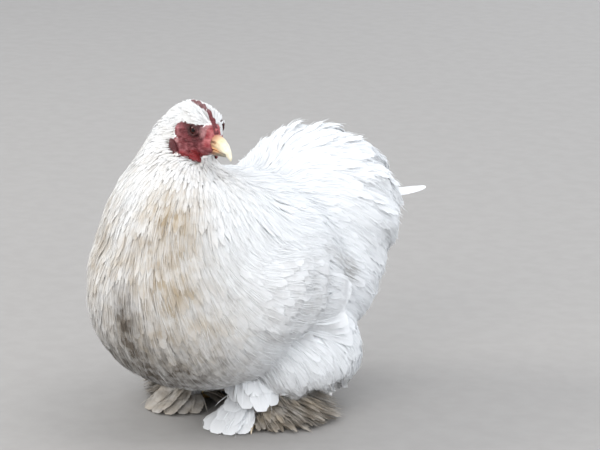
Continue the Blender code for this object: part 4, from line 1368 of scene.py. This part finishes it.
def make_shank_feathers(side, skin, material):
    """The soft feathers that hang from the hock and hide the shank."""
    t = np.linspace(0, 1, 16)
    line = np.stack([0.01 - 0.008 * t, 0.001 + 0.008 * t, 0.004 + 0.05 * t], 1)
    guide = Surface(rod_mesh([rod(line, 0.0105 + 0.007 * t)], foot_frame(side)))
    height = guide.points[guide.corners].mean(1)[:, 2]
    coat = Coat(f"shank_{SIDES[side]}_feathers", skin)
    draws = np.random.default_rng(SHANK_SEED + side)
    grow(coat, guide, SHANK_KIND, SHANK_SPACING, (height > 0.012) & (height < 0.05), draws)
    coat.made(material, "leg_plumage")


def lay_on_foot(coat, side, kind, turns, lengths, starts, heights, soil, draws):
    """Feathers that arch out from the foot, from their heights at the root, middle and tip."""
    turn = foot_frame(side)
    t = np.linspace(0, 1, STEPS + 1)
    low, middle, end = (np.asarray(height)[..., None] for height in heights)
    line = starts[:, None] + ways(turns)[:, None] * (lengths[:, None] * t)[:, :, None]
    line[:, :, 2] = low * (1 - t) ** 2 + 2 * middle * t * (1 - t) + end * t**2
    ahead = np.gradient(line, axis=1)
    up = unit(np.cross(np.cross(ahead, np.array((0, 0, 1.0))), ahead))
    line = line @ array(turn.to_3x3()).T + array(turn.translation)
    ones = np.ones(len(turns))
    coat.lay(line, up @ array(turn.to_3x3()).T, kind.half_width * ones, kind, draws, ones, soil)


def make_foot_feathers(side, skin, material):
    """Tiers of soft brown feathers out from the foot, and broad smooth ones over its front and back."""
    draws = np.random.default_rng(FOOT_SEED + side)
    coat = Coat(f"foot_{SIDES[side]}_feathers", skin)
    for count, turns, lengths, heights in FOOT_TIERS:
        share = np.linspace(0, 1, count)
        angle = np.radians(between(turns, share) + draws.uniform(-5, 5, count))
        swell = 1 + 0.85 * np.sin(math.pi * share**1.25)
        reach = between(lengths, share) * swell * draws.uniform(0.85, 1.1, count)
        starts = np.stack([np.cos(angle) * 0.009, 0.002 + np.sin(angle) * 0.008, 0 * angle], 1)
        spread = 1 + draws.uniform(-0.12, 0.12, count)
        heights = [height * spread for height in heights]
        lay_on_foot(coat, side, FOOT_KIND, angle, reach, starts, heights, SOFT_SOIL, draws)
    for degrees, length, half_width, heights in BROAD_FEATHERS:
        angle = np.radians([degrees])
        starts = ways(angle) * (0.003 if heights[0] < HOCK_HEIGHT else 0.012)
        # On the right foot's front feathers this browning is partly painted shade
        soil = HIND_SOIL if degrees > 90 else FRONT_SOIL_AND_SHADE[side]
        kind = replace(TOE_KIND, half_width=half_width)
        lay_on_foot(coat, side, kind, angle, np.array([length]), starts, heights, soil, draws)
    coat.made(material, "leg_plumage")


def make_floor():
    """A plain pale floor, large enough to fill the view."""
    bpy.ops.mesh.primitive_plane_add(size=FLOOR_SIZE)
    floor = bpy.context.object
    floor.name = "floor"
    material, tree, bsdf = shader("floor", 0.85)
    coloured(tree, bsdf, blended(tree, ramped(tree, noised(tree, 60.0, 6.0), 0.3, 0.7), *FLOOR_TINTS))
    floor.data.materials.append(material)


def look_at(obj, place, aim):
    """Links a lamp or camera, puts it at a place and points it."""
    bpy.context.scene.collection.objects.link(obj)
    obj.location = place
    obj.rotation_euler = (aim - obj.location).to_track_quat("-Z", "Y").to_euler()


def make_lights():
    """Soft lamps round the hen, and even light from all sides."""
    world = bpy.data.worlds.new("studio")
    bpy.context.scene.world = world
    bpy.context.scene.view_settings.view_transform = "Standard"
    world.use_nodes = True
    sockets = world.node_tree.nodes["Background"].inputs
    sockets["Color"].default_value = WORLD_COLOUR
    sockets["Strength"].default_value = WORLD_STRENGTH
    for name, (place, size, power, colour) in LAMPS.items():
        data = bpy.data.lights.new(name, "AREA")
        data.shape = "DISK"
        data.size = size
        data.energy = power
        data.color = colour
        look_at(bpy.data.objects.new(name, data), place, LIT_PLACE)


def make_camera():
    back = Vector((math.sin(CAMERA_AZIMUTH), -math.cos(CAMERA_AZIMUTH), 0)) * math.cos(CAMERA_ELEVATION)
    back.z = math.sin(CAMERA_ELEVATION)
    right = Vector((math.cos(CAMERA_AZIMUTH), math.sin(CAMERA_AZIMUTH), 0))
    up = back.cross(right)
    data = bpy.data.cameras.new("camera")
    data.sensor_fit = "HORIZONTAL"
    data.angle = CAMERA_ANGLE
    camera = bpy.data.objects.new("camera", data)
    aim = CAMERA_PIVOT + right * CAMERA_AIM[0] + up * CAMERA_AIM[1]
    look_at(camera, CAMERA_PIVOT + back * CAMERA_DISTANCE, aim)
    bpy.context.scene.camera = camera


def main():
    make_camera()
    make_lights()
    make_floor()
    guide = Surface(fused(COAT_NODES, *GUIDE_GRAIN))
    region, middles = regions(guide)
    skin = Skin(guide)
    make_skin(skin)
    plumage = plumage_material()
    make_coats(guide, region, middles, skin, plumage)
    make_tail_feather(skin, plumage)
    scales, horn, eye = scale_material(), horn_material(), eye_material()
    for side in SIDES:
        make_wing(side, guide, region, middles, skin, plumage)
        make_leg(side, scales, horn)
        make_shank_feathers(side, skin, plumage)
        make_foot_feathers(side, skin, plumage)
        make_eye(side, eye)
    make_bill("beak_upper", horn)
    make_bill("beak_lower", horn)


main()
